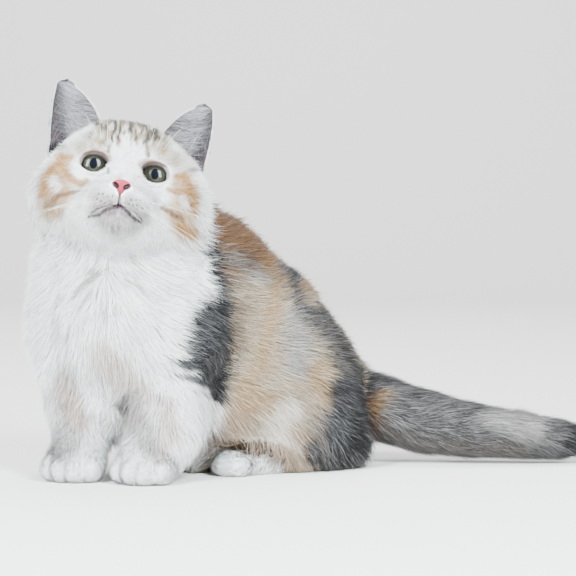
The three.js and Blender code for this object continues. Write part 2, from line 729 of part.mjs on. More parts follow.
const across = TAIL_CUTS.map((x) => ({ normal: [1, 0, 0], point: [x, 0, 0] }));
const tailParts = [
  beforeCut(tailSolid(0), across[0]),
  beforeCut(beyondCut(tailSolid(0), across[0]), across[1]),
  beyondCut(tailSolid(0), across[1]),
];
add("tail_base", join(tailParts[0], tailLocks([50, 65], 3)), greyCoat);
add("tail_middle", join(tailParts[1], tailLocks([94, 110, 126], 5)), greyCoat);
add("tail_tip", join(tailParts[2], tailLocks([156, 171, 186, 200], 9)), greyCoat);

// The trunk, in four lengths

const bodyWhole = aboveFloor(
  netMesh(body, world, [ticks(-190, 80, 12), ticks(-30, 190, 12), ticks(-18, 200, 12)]),
);
const trunkWhole = cut(
  bodyWhole,
  headAt(2.2, { sides: 20, rings: 14, lean: -18 }),
  tailSolid(GAP),
  ...both((side) => armCutter(side, GAP)),
  ...both((side) => thighCutter(side, GAP)),
  ...both((side) => footCutter(side, GAP)),
);
const front = beforeCut(trunkWhole, SHOULDER_CUT);
const rear = beyondCut(trunkWhole, SHOULDER_CUT);
add("neck", beyondCut(front, NECK_CUT), whiteCoat);
add("chest", join(beforeCut(front, NECK_CUT), chestLocks()), whiteCoat);
const bellySpots = [-80, -73].map((turn, i) => [turn, -30 - (i % 2) * 6]);
const bellySize = { long: 18, wide: 9, thick: 4, lift: 3 };
const bellyLocks = fringe(world, [-48, 66, 64], bellySpots, [0, -0.2, -1], bellySize, 31);
add("torso", join(beforeCut(rear, LOIN_CUT), bellyLocks), creamCoat);
add("hips", beyondCut(rear, LOIN_CUT), greyCoat);

// Legs and paws

both((side) => {
  const name = side > 0 ? "left" : "right";
  const inner = { normal: times(chest.left, side), point: PAWS };
  const wrist = { normal: [0, 0, 1], point: [0, 0, WRIST] };
  const armOf = (whole) => beyondCut(whole.intersect(armCutter(side, 0)), inner);
  const paw = starMesh(body, chest, [4, side * PAW_SPREAD, 9], { sides: 24, rings: 11, lean: 0 });
  add("foreleg_" + name, beyondCut(armOf(bodyWhole), wrist), whiteCoat);
  add("forepaw_" + name, beforeCut(armOf(paw), wrist), whiteCoat);
  const haunch = bodyWhole.intersect(thighCutter(side, 0));
  const hemSpots = mirrored(side, [[90, -18], [102, -28], [113, -16]]);
  const hemSize = { long: 16, wide: 12, thick: 4.5, lift: 3 };
  const hemFlow = plus([0, 0, -1], hips.ahead, -0.5);
  const hem = fringe(hips, [0, 0, 46], hemSpots, hemFlow, hemSize, 41 + side);
  const cleared = cut(haunch, footCutter(side, GAP), tailSolid(GAP));
  add("thigh_" + name, join(cleared, hem), creamCoat);
  const sole = starMesh(body, hips, [44, side * HIND_SPREAD, 8], { sides: 20, rings: 12, lean: 0 });
  add("hind_foot_" + name, sole.intersect(footCutter(side, 0)), whiteCoat);
});

// The origin is on the floor under the middle of the whole cat.
const bounds = new THREE.Box3().setFromObject(cat, true);
const middle = bounds.getCenter(new THREE.Vector3());
cat.position.set(-middle.x, -middle.y, -bounds.min.z);

export default cat;
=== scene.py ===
import math
from concurrent.futures import ThreadPoolExecutor
from functools import partialmethod
from types import SimpleNamespace

import bmesh
import bpy
import numpy as np
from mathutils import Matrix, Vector


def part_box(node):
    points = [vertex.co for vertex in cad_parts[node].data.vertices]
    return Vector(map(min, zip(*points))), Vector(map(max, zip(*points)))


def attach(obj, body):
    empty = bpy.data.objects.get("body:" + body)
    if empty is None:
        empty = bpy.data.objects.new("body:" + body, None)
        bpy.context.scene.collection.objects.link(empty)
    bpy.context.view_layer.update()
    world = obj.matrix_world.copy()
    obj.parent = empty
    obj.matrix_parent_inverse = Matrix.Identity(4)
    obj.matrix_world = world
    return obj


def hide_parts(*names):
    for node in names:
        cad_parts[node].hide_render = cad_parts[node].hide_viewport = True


bl_info = {
    "name": "Munchkin cat",
    "version": (1, 0, 0),
    "blender": (4, 5, 0),
    "location": "View3D > Sidebar > Cat",
    "description": "A young long-haired munchkin cat, life size, sitting with its tail along the floor",
    "category": "Object",
}

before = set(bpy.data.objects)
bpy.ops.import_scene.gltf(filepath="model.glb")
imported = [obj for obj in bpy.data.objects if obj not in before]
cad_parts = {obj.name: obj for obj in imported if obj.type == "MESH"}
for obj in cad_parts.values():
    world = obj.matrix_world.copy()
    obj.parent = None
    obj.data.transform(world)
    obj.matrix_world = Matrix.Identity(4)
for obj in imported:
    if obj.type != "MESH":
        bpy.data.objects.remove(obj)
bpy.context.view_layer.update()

# Sizes that the body shares with its solids, in millimetres and degrees. X runs to the viewer's right,
# Y away from the viewer and Z up. Left and right in names are the cat's own.

HEAD_YAW = -4.5
HEAD_PITCH = 24
HEAD_ROLL = 10
EYE_LEVEL = (-101, -5, 195.5)
HIPS_TURN = 62
CHEST_TURN = 17
HIPS = (-4, 105, 0)
PAWS = (-110, 18, 0)
PAW_SPREAD = 23.5
HIND_SPREAD = 38
THIGH_SPREAD = 27
EYE_SPREAD = 17.4
EYE_RADIUS = 10.4
# Half width and half height of the pupil, and where the iris glows beside it and darkens at its rim
PUPIL = (2.45, 3.6)
IRIS_GLOW = (4.6, 2.2)
IRIS_RIM = (5.9, 7.6)
PUPIL_COLOUR = (0.003, 0.004, 0.007)
# Which way an eye looks, ahead, outwards and up; the radius of its cornea and its tilt in degrees
GAZE = (9.9, 1.7, -1.1)
CORNEA = 13
CORNEA_TILT = 13
# The opening between the lids, and the line of the mouth by its heights in the head's frame
OPENING = SimpleNamespace(wide=8.8, above=6.5, below=6.6, slant=10, outward=8, down=5)
MOUTH = SimpleNamespace(half=15.0, middle=-30.2, corner=-35.2, top=-23.5, lean=0.05)
# Middles and radii along the tail, and how deep its locks are
TAIL = (
    ((14, 128, 54), 22),
    ((36, 123, 46), 25),
    ((64, 117, 36), 26),
    ((92, 114, 27.5), 25),
    ((124, 112, 22), 22.5),
    ((158, 110, 19), 19.7),
    ((184, 110, 16.5), 17),
    ((204, 110.5, 15), 12.5),
    ((217, 111, 14), 6.5),
)
TAIL_COAT = 4.5
LIMBS = ("foreleg", "forepaw", "thigh", "hind_foot")
SIDES = {1: "left", -1: "right"}

# The solids that the skin stands for
FLESH = (
    "head", "neck", "chest", "torso", "hips",
    *[part + "_" + side for side in SIDES.values() for part in LIMBS],
    "tail_base", "tail_middle", "tail_tip",
)


# Frames and small maths


def unit(v):
    """A vector, or each row of an array, divided by its length."""
    v = np.asarray(v, float)
    return v / np.maximum(np.linalg.norm(v, axis=-1, keepdims=True), 1e-9)


def dots(a, b):
    """The dot product of matching rows."""
    return np.einsum("...i,...i->...", a, b)


def ease(low, high, x):
    """0 below low, 1 above high, and 3t² - 2t³ between them. High may be the smaller."""
    t = np.clip((x - low) / (high - low), 0, 1)
    return t * t * (3 - 2 * t)


def mix(a, b, t):
    """a at t = 0 and b at t = 1."""
    return a + (b - a) * t


def stacked(*parts):
    """Arrays as the parts of vectors."""
    return np.stack(parts, axis=-1)


def far_from(p, at):
    """How far points lie from a place."""
    return np.linalg.norm(p - at, axis=-1)


def in_oval(p, at, radii):
    """1 on the surface of an oval or an ellipsoid, and less inside."""
    return np.linalg.norm((p - at) / radii, axis=-1)


def turns(count):
    """Angles evenly round a circle."""
    return np.linspace(0, 2 * np.pi, count, endpoint=False)


class Place:
    """An origin with unit vectors ahead, to the cat's left and up."""

    def __init__(self, origin, ahead, left, up):
        self.origin = np.array(origin, float)
        self.axes = np.array([ahead, left, up], float)

    def out(self, p):
        """A local point in the cat's millimetres."""
        return self.origin + np.asarray(p, float) @ self.axes

    def into(self, p):
        """A point in the cat's millimetres as ahead, left and up from the origin."""
        return (p - self.origin) @ self.axes.T

    def way(self, v):
        """A local direction as a direction in the cat's millimetres."""
        return np.asarray(v, float) @ self.axes


def facing(origin, degrees):
    """A level frame turned away from the viewer by some degrees."""
    a = math.radians(degrees)
    return Place(origin, (-math.sin(a), -math.cos(a), 0), (math.cos(a), -math.sin(a), 0), (0, 0, 1))


def head_place():
    """The head's frame: turned about the upright, rolled about the view, then pitched up."""
    ahead, left, up = facing(EYE_LEVEL, HEAD_YAW).axes
    roll = math.radians(HEAD_ROLL)
    pitch = math.radians(HEAD_PITCH)
    leans = left * math.cos(roll) - up * math.sin(roll)
    upright = up * math.cos(roll) + left * math.sin(roll)
    rises = ahead * math.cos(pitch) + upright * math.sin(pitch)
    return Place(EYE_LEVEL, rises, leans, upright * math.cos(pitch) - ahead * math.sin(pitch))


HEAD = head_place()
CHEST = facing(PAWS, CHEST_TURN)
RUMP = facing(HIPS, HIPS_TURN)
WORLD = Place((0, 0, 0), (1, 0, 0), (0, 1, 0), (0, 0, 1))


def eye_at(side):
    """The middle of an eyeball in the head's frame."""
    return np.array((-8.6, side * EYE_SPREAD, 1.2))


def middle_of(node):
    """The middle of a node's box, in metres."""
    low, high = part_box(node)
    return (np.array(low) + np.array(high)) / 2


# The solids were moved as a whole so that their origin is on the floor under their middle.
MOVED = middle_of("eye_left") - HEAD.out(eye_at(1)) * 0.001


# The viewer: where the camera stands, its pitch and its focal length in pixels of the photograph
CAMERA = np.array((0.0, -1300.0, 170.0))
CAMERA_PITCH = math.radians(2.1)
FOCAL = 2096.8
PICTURE = 576
SIGHT_RIGHT = np.array((1.0, 0, 0))
SIGHT_AHEAD = np.array((0, math.cos(CAMERA_PITCH), -math.sin(CAMERA_PITCH)))
SIGHT_UP = np.array((0, math.sin(CAMERA_PITCH), math.cos(CAMERA_PITCH)))


def in_picture(p):
    """Where the camera sees points, in the photograph's pixels to the right and down."""
    q = p - CAMERA
    scale = FOCAL / (q @ SIGHT_AHEAD)
    return stacked(PICTURE / 2 + q[:, 0] * scale, PICTURE / 2 - (q @ SIGHT_UP) * scale)


def metres(p):
    """Points from the cat's millimetres to the frame of the solids."""
    return np.asarray(p, float) * 0.001 + MOVED


# Fields: each gives the distance of points outside a surface, negative inside


def ball(place, at, radii):
    """An ellipsoid: n (n - 1) / s, with n the length of q / r and s the length of q / r²."""
    middle = place.out(at).astype(np.float32)
    axes = place.axes.T.astype(np.float32)
    radii = np.asarray(radii, np.float32)

    def field(p):
        q = (p - middle) @ axes / radii
        near = np.sqrt(dots(q, q)) + 1e-4
        q = q / radii
        return near * (near - 1) / (np.sqrt(dots(q, q)) + 1e-6)

    return field


def limb(place, a, ra, b, rb):
    """The distance from the segment a to b, less a radius that changes evenly from ra to rb."""
    start = place.out(a).astype(np.float32)
    way = (place.out(b) - place.out(a)).astype(np.float32)

    def field(p):
        d = p - start
        t = np.clip(d @ way / (way @ way), 0, 1)
        d = d - t[..., None] * way
        return np.sqrt(dots(d, d)) - (ra + (rb - ra) * t)

    return field


def joined(depth, distances):
    """A smooth minimum: where two differ by less than depth, h² depth / 4 comes off, h falling to 0."""
    near = distances[0]
    for d in distances[1:]:
        h = np.maximum(depth - np.abs(near - d), 0) / depth
        near = np.minimum(near, d) - h * h * depth / 4
    return near


def blend(depth, fields):
    """The smooth minimum of fields, as a field."""
    return lambda p: joined(depth, [field(p) for field in fields])


def both(make):
    """What a function of the side gives for the cat's left, 1, and for its right, -1."""
    return [make(1), make(-1)]


def toes(place, tip, spread, radius, side):
    """Four toes side by side, the middle two ahead."""
    made = []
    for n in (-1.5, -0.5, 0.5, 1.5):
        back = radius * 0.6 if abs(n) > 1 else 0
        at = (tip[0] - back, tip[1] + n * spread * side, tip[2])
        made.append(ball(place, at, (radius * 1.3, radius * 0.82, radius)))
    return made


def trunk_field():
    """The trunk with the thighs and the fluff at the heels."""
    masses = [
        ball(WORLD, (-58, 60, 122), (50, 46, 49)),
        ball(WORLD, (-24, 84, 90), (49, 49, 49)),
        ball(RUMP, (-3, 0, 56), (50, 50, 50)),
        ball(WORLD, (-48, 72, 50), (56, 42, 42)),
        ball(CHEST, (-19, -4, 104), (43, 60, 56)),
        ball(CHEST, (-12, -5, 142), (38, 51, 33)),
        ball(WORLD, (-90, 48, 158), (38, 37, 35)),
        ball(WORLD, (-66, 86, 20), (34, 34, 24)),
        *both(lambda side: ball(RUMP, (8, side * THIGH_SPREAD, 44), (42, 28, 48))),
        *both(lambda side: ball(RUMP, (-20, side * 31, 16), (29, 22, 23))),
    ]
    return blend(16, masses)


def foreleg_field():
    """Both forearms and upper arms, and the fluff at the left elbow."""
    inner, outer = PAW_SPREAD, PAW_SPREAD + 4
    lower = both(lambda s: limb(CHEST, (-2, s * inner, 20), 16.5, (-22, s * outer, 50), 25))
    upper = both(lambda s: limb(CHEST, (-22, s * outer, 50), 25, (-26, s * 30, 84), 34))
    return blend(12, lower + upper + [ball(CHEST, (-10, 35, 34), (22, 22, 26))])


def forepaw(side):
    """A round forepaw with its toes."""
    palm = ball(CHEST, (3, side * PAW_SPREAD, 11), (18, 17.5, 14))
    return blend(4.5, [palm, *toes(CHEST, (16, side * PAW_SPREAD, 8), 9.2, 8.5, side)])


def hindpaw(side):
    """A long hind foot with its toes."""
    at = side * HIND_SPREAD
    foot = limb(RUMP, (8, at, 9), 11, (58, at, 8), 9.7)
    return blend(4, [foot, *toes(RUMP, (60, at, 6.6), 6.4, 7, side)])


def tail_field():
    """The tail under its locks, a chain of tapering bars."""
    bars = []
    for (a, ra), (b, rb) in zip(TAIL, TAIL[1:]):
        bars.append(limb(WORLD, a, ra - TAIL_COAT, b, max(rb - TAIL_COAT, 3)))
    return blend(4, bars)


LID_THICK = 1.3
LIDS = both(lambda side: ball(HEAD, eye_at(side), (EYE_RADIUS + LID_THICK,) * 3))


def head_field():
    """Skull, cheeks, the fuller left temple, jaw and brows; the bridge with the whisker pads and the
    chin; the balls under the lids."""
    skull = [
        ball(HEAD, (-32, 0, 4), (42, 45, 40)),
        *both(lambda side: ball(HEAD, (-22, side * 32.3, -14.5), (27, 24.5, 24))),
        ball(HEAD, (-29, 35, 3), (20, 15, 20)),
        ball(HEAD, (-16, 0, -29), (25, 28, 19)),
        *both(lambda side: ball(HEAD, (-11, side * 17, 12), (12, 14, 11))),
    ]
    muzzle = [
        limb(HEAD, (-3, 0, 6), 12, (12, 0, -17), 8),
        *both(lambda side: ball(HEAD, (7, side * 9, -26), (13, 13, 10.5))),
        ball(HEAD, (4, 0, -38), (11, 12, 9)),
    ]
    return blend(5, [blend(11, [blend(12, skull), blend(5, muzzle)]), *LIDS])


def nose_field():
    """The nose leather: a pad that narrows to a point below, with a wing round each nostril."""
    pad = [
        ball(HEAD, (17.5, 0, -18), (3.2, 4.6, 3)),
        ball(HEAD, (17.2, 0, -21.5), (3.4, 2.6, 3.4)),
        *both(lambda side: ball(HEAD, (16.4, side * 3.9, -19), (3, 2.3, 2.4))),
    ]
    return blend(2, pad)


MASSES = {
    "head": head_field(),
    "trunk": trunk_field(),
    "foreleg": foreleg_field(),
    "forepaw": lambda p: np.minimum(*[paw(p) for paw in both(forepaw)]),
    "hindpaw": lambda p: np.minimum(*[paw(p) for paw in both(hindpaw)]),
    "tail": tail_field(),
}
NOSE = nose_field()


def nostril_field(p):
    """Two leaning hollows in the nose leather."""
    holes = []
    for side in (1, -1):
        q = HEAD.into(p) - (20.0, side * 3.5, -20.0)
        lean = q[..., 2] - q[..., 1] * side * 0.5
        e = np.sqrt((q[..., 0] / 3.4) ** 2 + (q[..., 1] / 1.75) ** 2 + (lean / 1.3) ** 2)
        holes.append((e - 1) * 1.3)
    return np.minimum(*holes)


def looking(side, look, tilt):
    """A frame in the middle of an eyeball: the way it looks, across and up, turned about the first."""
    across = unit((-look[1], look[0], 0))
    upward = np.cross(look, across)
    leans = across * math.cos(tilt) + upward * math.sin(tilt)
    rises = upward * math.cos(tilt) - across * math.sin(tilt)
    return Place(HEAD.out(eye_at(side)), *[HEAD.way(v) for v in (look, leans, rises)])


def opening_place(side):
    """The frame of the opening between the lids: outwards from the eye, across and up."""
    out = math.radians(OPENING.outward)
    low = math.radians(OPENING.down)
    look = np.array((math.cos(out) * math.cos(low), side * math.sin(out), -math.sin(low)))
    return looking(side, look, math.radians(OPENING.slant) * side)


OPENINGS = both(opening_place)


def opening_field(place):
    """A flaring plug of the almond between the lids: (e - 1) r, with e the elliptic radius."""

    def field(p):
        depth, x, y = np.moveaxis(place.into(p), -1, 0)
        flare = mix(0.96, 1.12, (depth - 4) / 14)
        tall = np.where(y > 0, OPENING.above, OPENING.below) * flare
        e = np.hypot(x / (OPENING.wide * flare), y / tall)
        return np.maximum(np.maximum((e - 1) * tall, 4 - depth), depth - 18)

    return field


def mouth_distance(q):
    """How far points in the head's frame lie from the line of the mouth and the cleft above it."""
    x = q[..., 1]
    share = np.clip(np.abs(x) / MOUTH.half, 0, 1)
    line = mix(MOUTH.middle, MOUTH.corner, share**1.4) + MOUTH.lean * x
    beyond = np.maximum(np.abs(x) - MOUTH.half, 0)
    lips = np.hypot(q[..., 2] - line, beyond) * mix(1.0, 0.85, share)
    over = np.maximum(MOUTH.middle - q[..., 2], 0) + np.maximum(q[..., 2] - MOUTH.top, 0)
    cleft = np.hypot(x, over) * 1.3
    hidden = np.maximum(2 - q[..., 0], 0)
    return np.minimum(lips, cleft) + hidden


def masses_at(p):
    """The distance from each mass, their smooth union, and each one's share of a place."""
    d = {name: field(p) for name, field in MASSES.items()}
    feet = np.minimum(d["forepaw"], d["hindpaw"])
    body = joined(7, [joined(14, [d["trunk"], d["foreleg"]]), feet])
    whole = joined(8, [joined(18, [body, d["head"]]), d["tail"]])
    nearest = np.minimum.reduce(list(d.values()))
    share = {name: np.exp((nearest - x) / 5) for name, x in d.items()}
    total = sum(share.values())
    return whole, {name: s / total for name, s in share.items()}


def shares_at(p):
    """Each mass's share of a place."""
    return masses_at(p.astype(np.float32))[1]


# The middle of the short-haired face, in the head's frame
FACE = (10, 0, -16)


def face_shares(q):
    """Shares of the face, which is short-haired, and of the fluffy cheek, in the head's frame."""
    beyond = ease(26, 56, far_from(q, FACE))
    low = ease(16, -10, q[..., 2]) * ease(16, 36, np.abs(q[..., 1]))
    under = ease(-38, -50, q[..., 2])
    return 1 - beyond, np.clip(beyond * np.maximum(low, under), 0, 1)


# How deep the skin lies under the coat of each mass but the head
COAT_DEPTH = {"trunk": 9.0, "foreleg": 5.0, "forepaw": 1.6, "hindpaw": 1.6, "tail": 5.5}


def depth_at(p, share):
    """How deep the skin lies under the outline of the coat's core."""
    q = HEAD.into(p)
    face, cheek = face_shares(q)
    muzzle = ease(34, 14, far_from(q, (14, 0, -26)))
    head = mix(4.0, 1.3, face) + 4.5 * cheek - 0.45 * muzzle
    depth = share["head"] * head
    for name, d in COAT_DEPTH.items():
        depth = depth + share[name] * d
    lids = np.minimum(*[lid(p) for lid in LIDS])
    return mix(0.15, depth, ease(0.5, 6, lids))


def skin_field(p):
    """The bare body without its openings."""
    p = p.astype(np.float32)
    whole, share = masses_at(p)
    return whole + depth_at(p, share)


def carved_field(p):
    """The skin with the openings of the eyes and the nostrils cut out, and the line of the mouth sunk
    between lips."""
    skin = skin_field(p)
    line = mouth_distance(HEAD.into(p))
    skin = skin + 1.5 * np.exp(-((line / 0.8) ** 2)) - 0.45 * np.exp(-(((line - 2) / 1.1) ** 2))
    for place in OPENINGS:
        skin = np.maximum(skin, -opening_field(place)(p))
    return np.maximum(skin, -nostril_field(p) - 0.5)


def on_grid(field, ticks):
    """A field at every crossing of a grid, worked out a slab at a time on several threads."""
    grid = np.stack(np.meshgrid(*ticks, indexing="ij"), axis=-1).astype(np.float32)
    with ThreadPoolExecutor(4) as pool:
        slabs = list(pool.map(field, np.array_split(grid, 48)))
    return np.concatenate(slabs).astype(np.float32)


def between_corners(i, f, value):
    """The values at the eight corners of a cell, mixed along each axis by the shares f."""
    total = 0
    for corner in np.ndindex(2, 2, 2):
        share = 1
        for k in range(3):
            share = share * (f[..., k] if corner[k] else 1 - f[..., k])
        total = total + share * value(i + np.array(corner))
    return total


class Volume:
    """A field kept on an even grid, read between its points by mixing along each axis."""

    def __init__(self, field, low, high, step):
        self.low = np.array(low, float)
        self.step = step
        ticks = [np.arange(a, b, step) for a, b in zip(low, high)]
        self.values = on_grid(field, ticks)

    def at(self, p):
        """The field at points, which are held inside the grid."""
        q = (p - self.low) / self.step
        q = np.clip(q, 0, np.array(self.values.shape) - 1.001)
        i = q.astype(int)
        return between_corners(i, q - i, lambda corner: self.values[tuple(corner.T)])

    def slope(self, p):
        """Which way the field rises, by central differences over 1.4 steps."""
        ways = []
        for axis in np.eye(3) * self.step * 0.7:
            ways.append(self.at(p + axis) - self.at(p - axis))
        return np.stack(ways, axis=-1) / (1.4 * self.step)


def spaced(low, high, coarse, fine, focus):
    """Grid ticks: fine apart between the two focus values and growing to coarse beyond them."""
    made = [low]
    while made[-1] < high:
        at = made[-1]
        away = max(focus[0] - at, at - focus[1], 0)
        made.append(at + min(max(fine + away * 0.3, fine), coarse))
    return np.array(made)


def net(field, ticks):
    """A field's surface by surface nets: each crossed cell gets one vertex, the mean of its crossings,
    and each crossed grid edge one quad round it, wound so that it faces outwards."""
    values = on_grid(field, ticks)
    cells = tuple(n - 1 for n in values.shape)
    total = np.zeros(cells + (3,))
    count = np.zeros(cells)
    crossed = []
    for axis in range(3):
        low = [slice(None)] * 3
        high = [slice(None)] * 3
        low[axis] = slice(0, -1)
        high[axis] = slice(1, None)
        a, b = values[tuple(low)], values[tuple(high)]
        at = np.argwhere((a < 0) != (b < 0))
        va = a[tuple(at.T)]
        vb = b[tuple(at.T)]
        point = np.stack([ticks[k][at[:, k]] for k in range(3)], axis=-1)
        gap = ticks[axis][at[:, axis] + 1] - ticks[axis][at[:, axis]]
        point[:, axis] += va / (va - vb) * gap
        second, third = (axis + 1) % 3, (axis + 2) % 3
        corners = []
        for da, db in ((-1, -1), (0, -1), (0, 0), (-1, 0)):
            cell = at.copy()
            cell[:, second] += da
            cell[:, third] += db
            corners.append(cell)
            inside = ((cell >= 0) & (cell < cells)).all(axis=1)
            np.add.at(total, tuple(cell[inside].T), point[inside])
            np.add.at(count, tuple(cell[inside].T), 1)
        crossed.append((np.stack(corners, axis=1), va < 0))
    filled = count > 0
    number = np.cumsum(filled).reshape(cells) - 1
    vertices = total[filled] / count[filled][:, None]
    faces = []
    for corners, outward in crossed:
        inside = ((corners >= 0) & (corners < cells)).all(axis=(1, 2))
        ring = number[tuple(np.moveaxis(corners[inside], -1, 0))]
        faces.append(np.where(outward[inside][:, None], ring, ring[:, ::-1]))
    return vertices, np.concatenate(faces)


# Noise and random numbers


def hashed(cells, seed):
    """A random number from 0 to 1 for each lattice cell, the same on every run."""
    c = cells.astype(np.int64)
    h = (c[..., 0] * 73856093) ^ (c[..., 1] * 19349663) ^ (c[..., 2] * 83492791) ^ (seed * 2654435761)
    h = h & 0xFFFFFFFF
    h = ((h ^ (h >> 16)) * 73244475) & 0xFFFFFFFF
    h = ((h ^ (h >> 16)) * 73244475) & 0xFFFFFFFF
    return (h ^ (h >> 16)) / 4294967296.0


def noise(p, size, seed=0):
    """Smooth noise from -1 to 1: random numbers on a cubic lattice, eased between its corners."""
    q = p / size
    i = np.floor(q).astype(np.int64)
    f = q - i
    return between_corners(i, f * f * (3 - 2 * f), lambda corner: hashed(corner, seed)) * 2 - 1


def noise3(p, size, seed=0):
    """Three independent smooth noises as a vector."""
    return np.stack([noise(p, size, seed + k) for k in range(3)], axis=-1)


# Markings, shared by skin and coat


def tone(red, green, blue):
    """A colour given from 0 to 255, as the light it reflects."""
    c = np.array((red, green, blue)) / 255
    return np.where(c <= 0.04045, c / 12.92, ((c + 0.055) / 1.055) ** 2.4)


# The colours of the markings
COLOURS = {
    "white": (248, 249, 251),
    # Grey laid on white fur mostly as painted shade: on the forelegs, under the chin and between the tufts of
    # the front; on the whisker pads it is painted shade together with grey hairs.
    "pale": (166, 162, 161),
    "warm": (200, 188, 177),
    "beige": (147, 132, 112),
    "cream": (150, 120, 84),
    "peach": (143, 119, 97),
    "tan": (112, 83, 49),
    "gold": (99, 65, 35),
    "brown": (94, 66, 40),
    "umber": (84, 62, 46),
    "taupe": (74, 65, 58),
    "silver": (128, 125, 122),
    "ash": (58, 56, 55),
    "grey": (40, 39, 41),
    "slate": (33, 33, 35),
    "dark": (28, 26, 27),
    "black": (8, 8, 10),
    "blush": (184, 160, 148),
    "fawn": (152, 139, 114),
    "shell": (170, 136, 92),
    "apricot": (166, 122, 70),
    "rust": (110, 72, 40),
    "stripe": (40, 36, 29),
    "lid": (112, 80, 70),
    "mauve": (104, 84, 94),
    "lip": (52, 36, 44),
    "maroon": (40, 14, 24),
    "pink": (184, 108, 114),
    "fleck": (130, 129, 132),
}
TONES = {name: tone(*colour) for name, colour in COLOURS.items()}


class Paint:
    """Colours built up by marks laid over one another, with the share of dark-tipped hairs and the share
    of pale hairs in each."""

    def __init__(self, p, normals, base, tick, fleck):
        self.p = p
        self.picture = in_picture(p)
        self.seen = ease(-0.35, -0.05, dots(normals, unit(CAMERA - p)))
        self.colour = np.tile(TONES[base], (len(p), 1))
        self.tick = np.full(len(p), tick)
        self.fleck = np.full(len(p), fleck)

    def lay(self, mask, name, tick=0.0, fleck=0.0, rows=slice(None)):
        """Lay a colour over a mask from 0 to 1."""
        mask = np.clip(mask, 0, 1)
        self.colour[rows] = mix(self.colour[rows], TONES[name], mask[:, None])
        self.tick[rows] = mix(self.tick[rows], tick, mask)
        self.fleck[rows] = mix(self.fleck[rows], fleck, mask)

    def marks(self, marks, within):
        """Strokes on the side that the viewer sees: each follows its beads in the photograph's plane and
        fades out where it passes its half width."""
        for name, tick, fleck, strength, soft, *beads in marks.values():
            beads = np.array(beads, float)
            reach = beads[:, 2].max() * (1 + soft)
            low, high = beads[:, :2].min(axis=0) - reach, beads[:, :2].max(axis=0) + reach
            rows = np.flatnonzero(((self.picture > low) & (self.picture < high)).all(axis=1))
            near = np.full(len(rows), 1e9)
            for a, b in zip(beads, beads[1:] if len(beads) > 1 else beads):
                way = b[:2] - a[:2]
                d = self.picture[rows] - a[:2]
                t = np.clip(d @ way / max(way @ way, 1e-9), 0, 1)
                near = np.minimum(near, far_from(d, t[:, None] * way) / mix(a[2], b[2], t))
            mask = ease(1 + soft, 1 - soft, near) * strength * self.seen[rows]
            self.lay(mask * within[rows], name, tick, fleck, rows)

    def spot(self, at, radii, name, tick, fleck, strength):
        """An ellipsoid patch with soft edges."""
        self.lay(ease(1.35, 0.65, in_oval(self.p, at, radii)) * strength, name, tick, fleck)


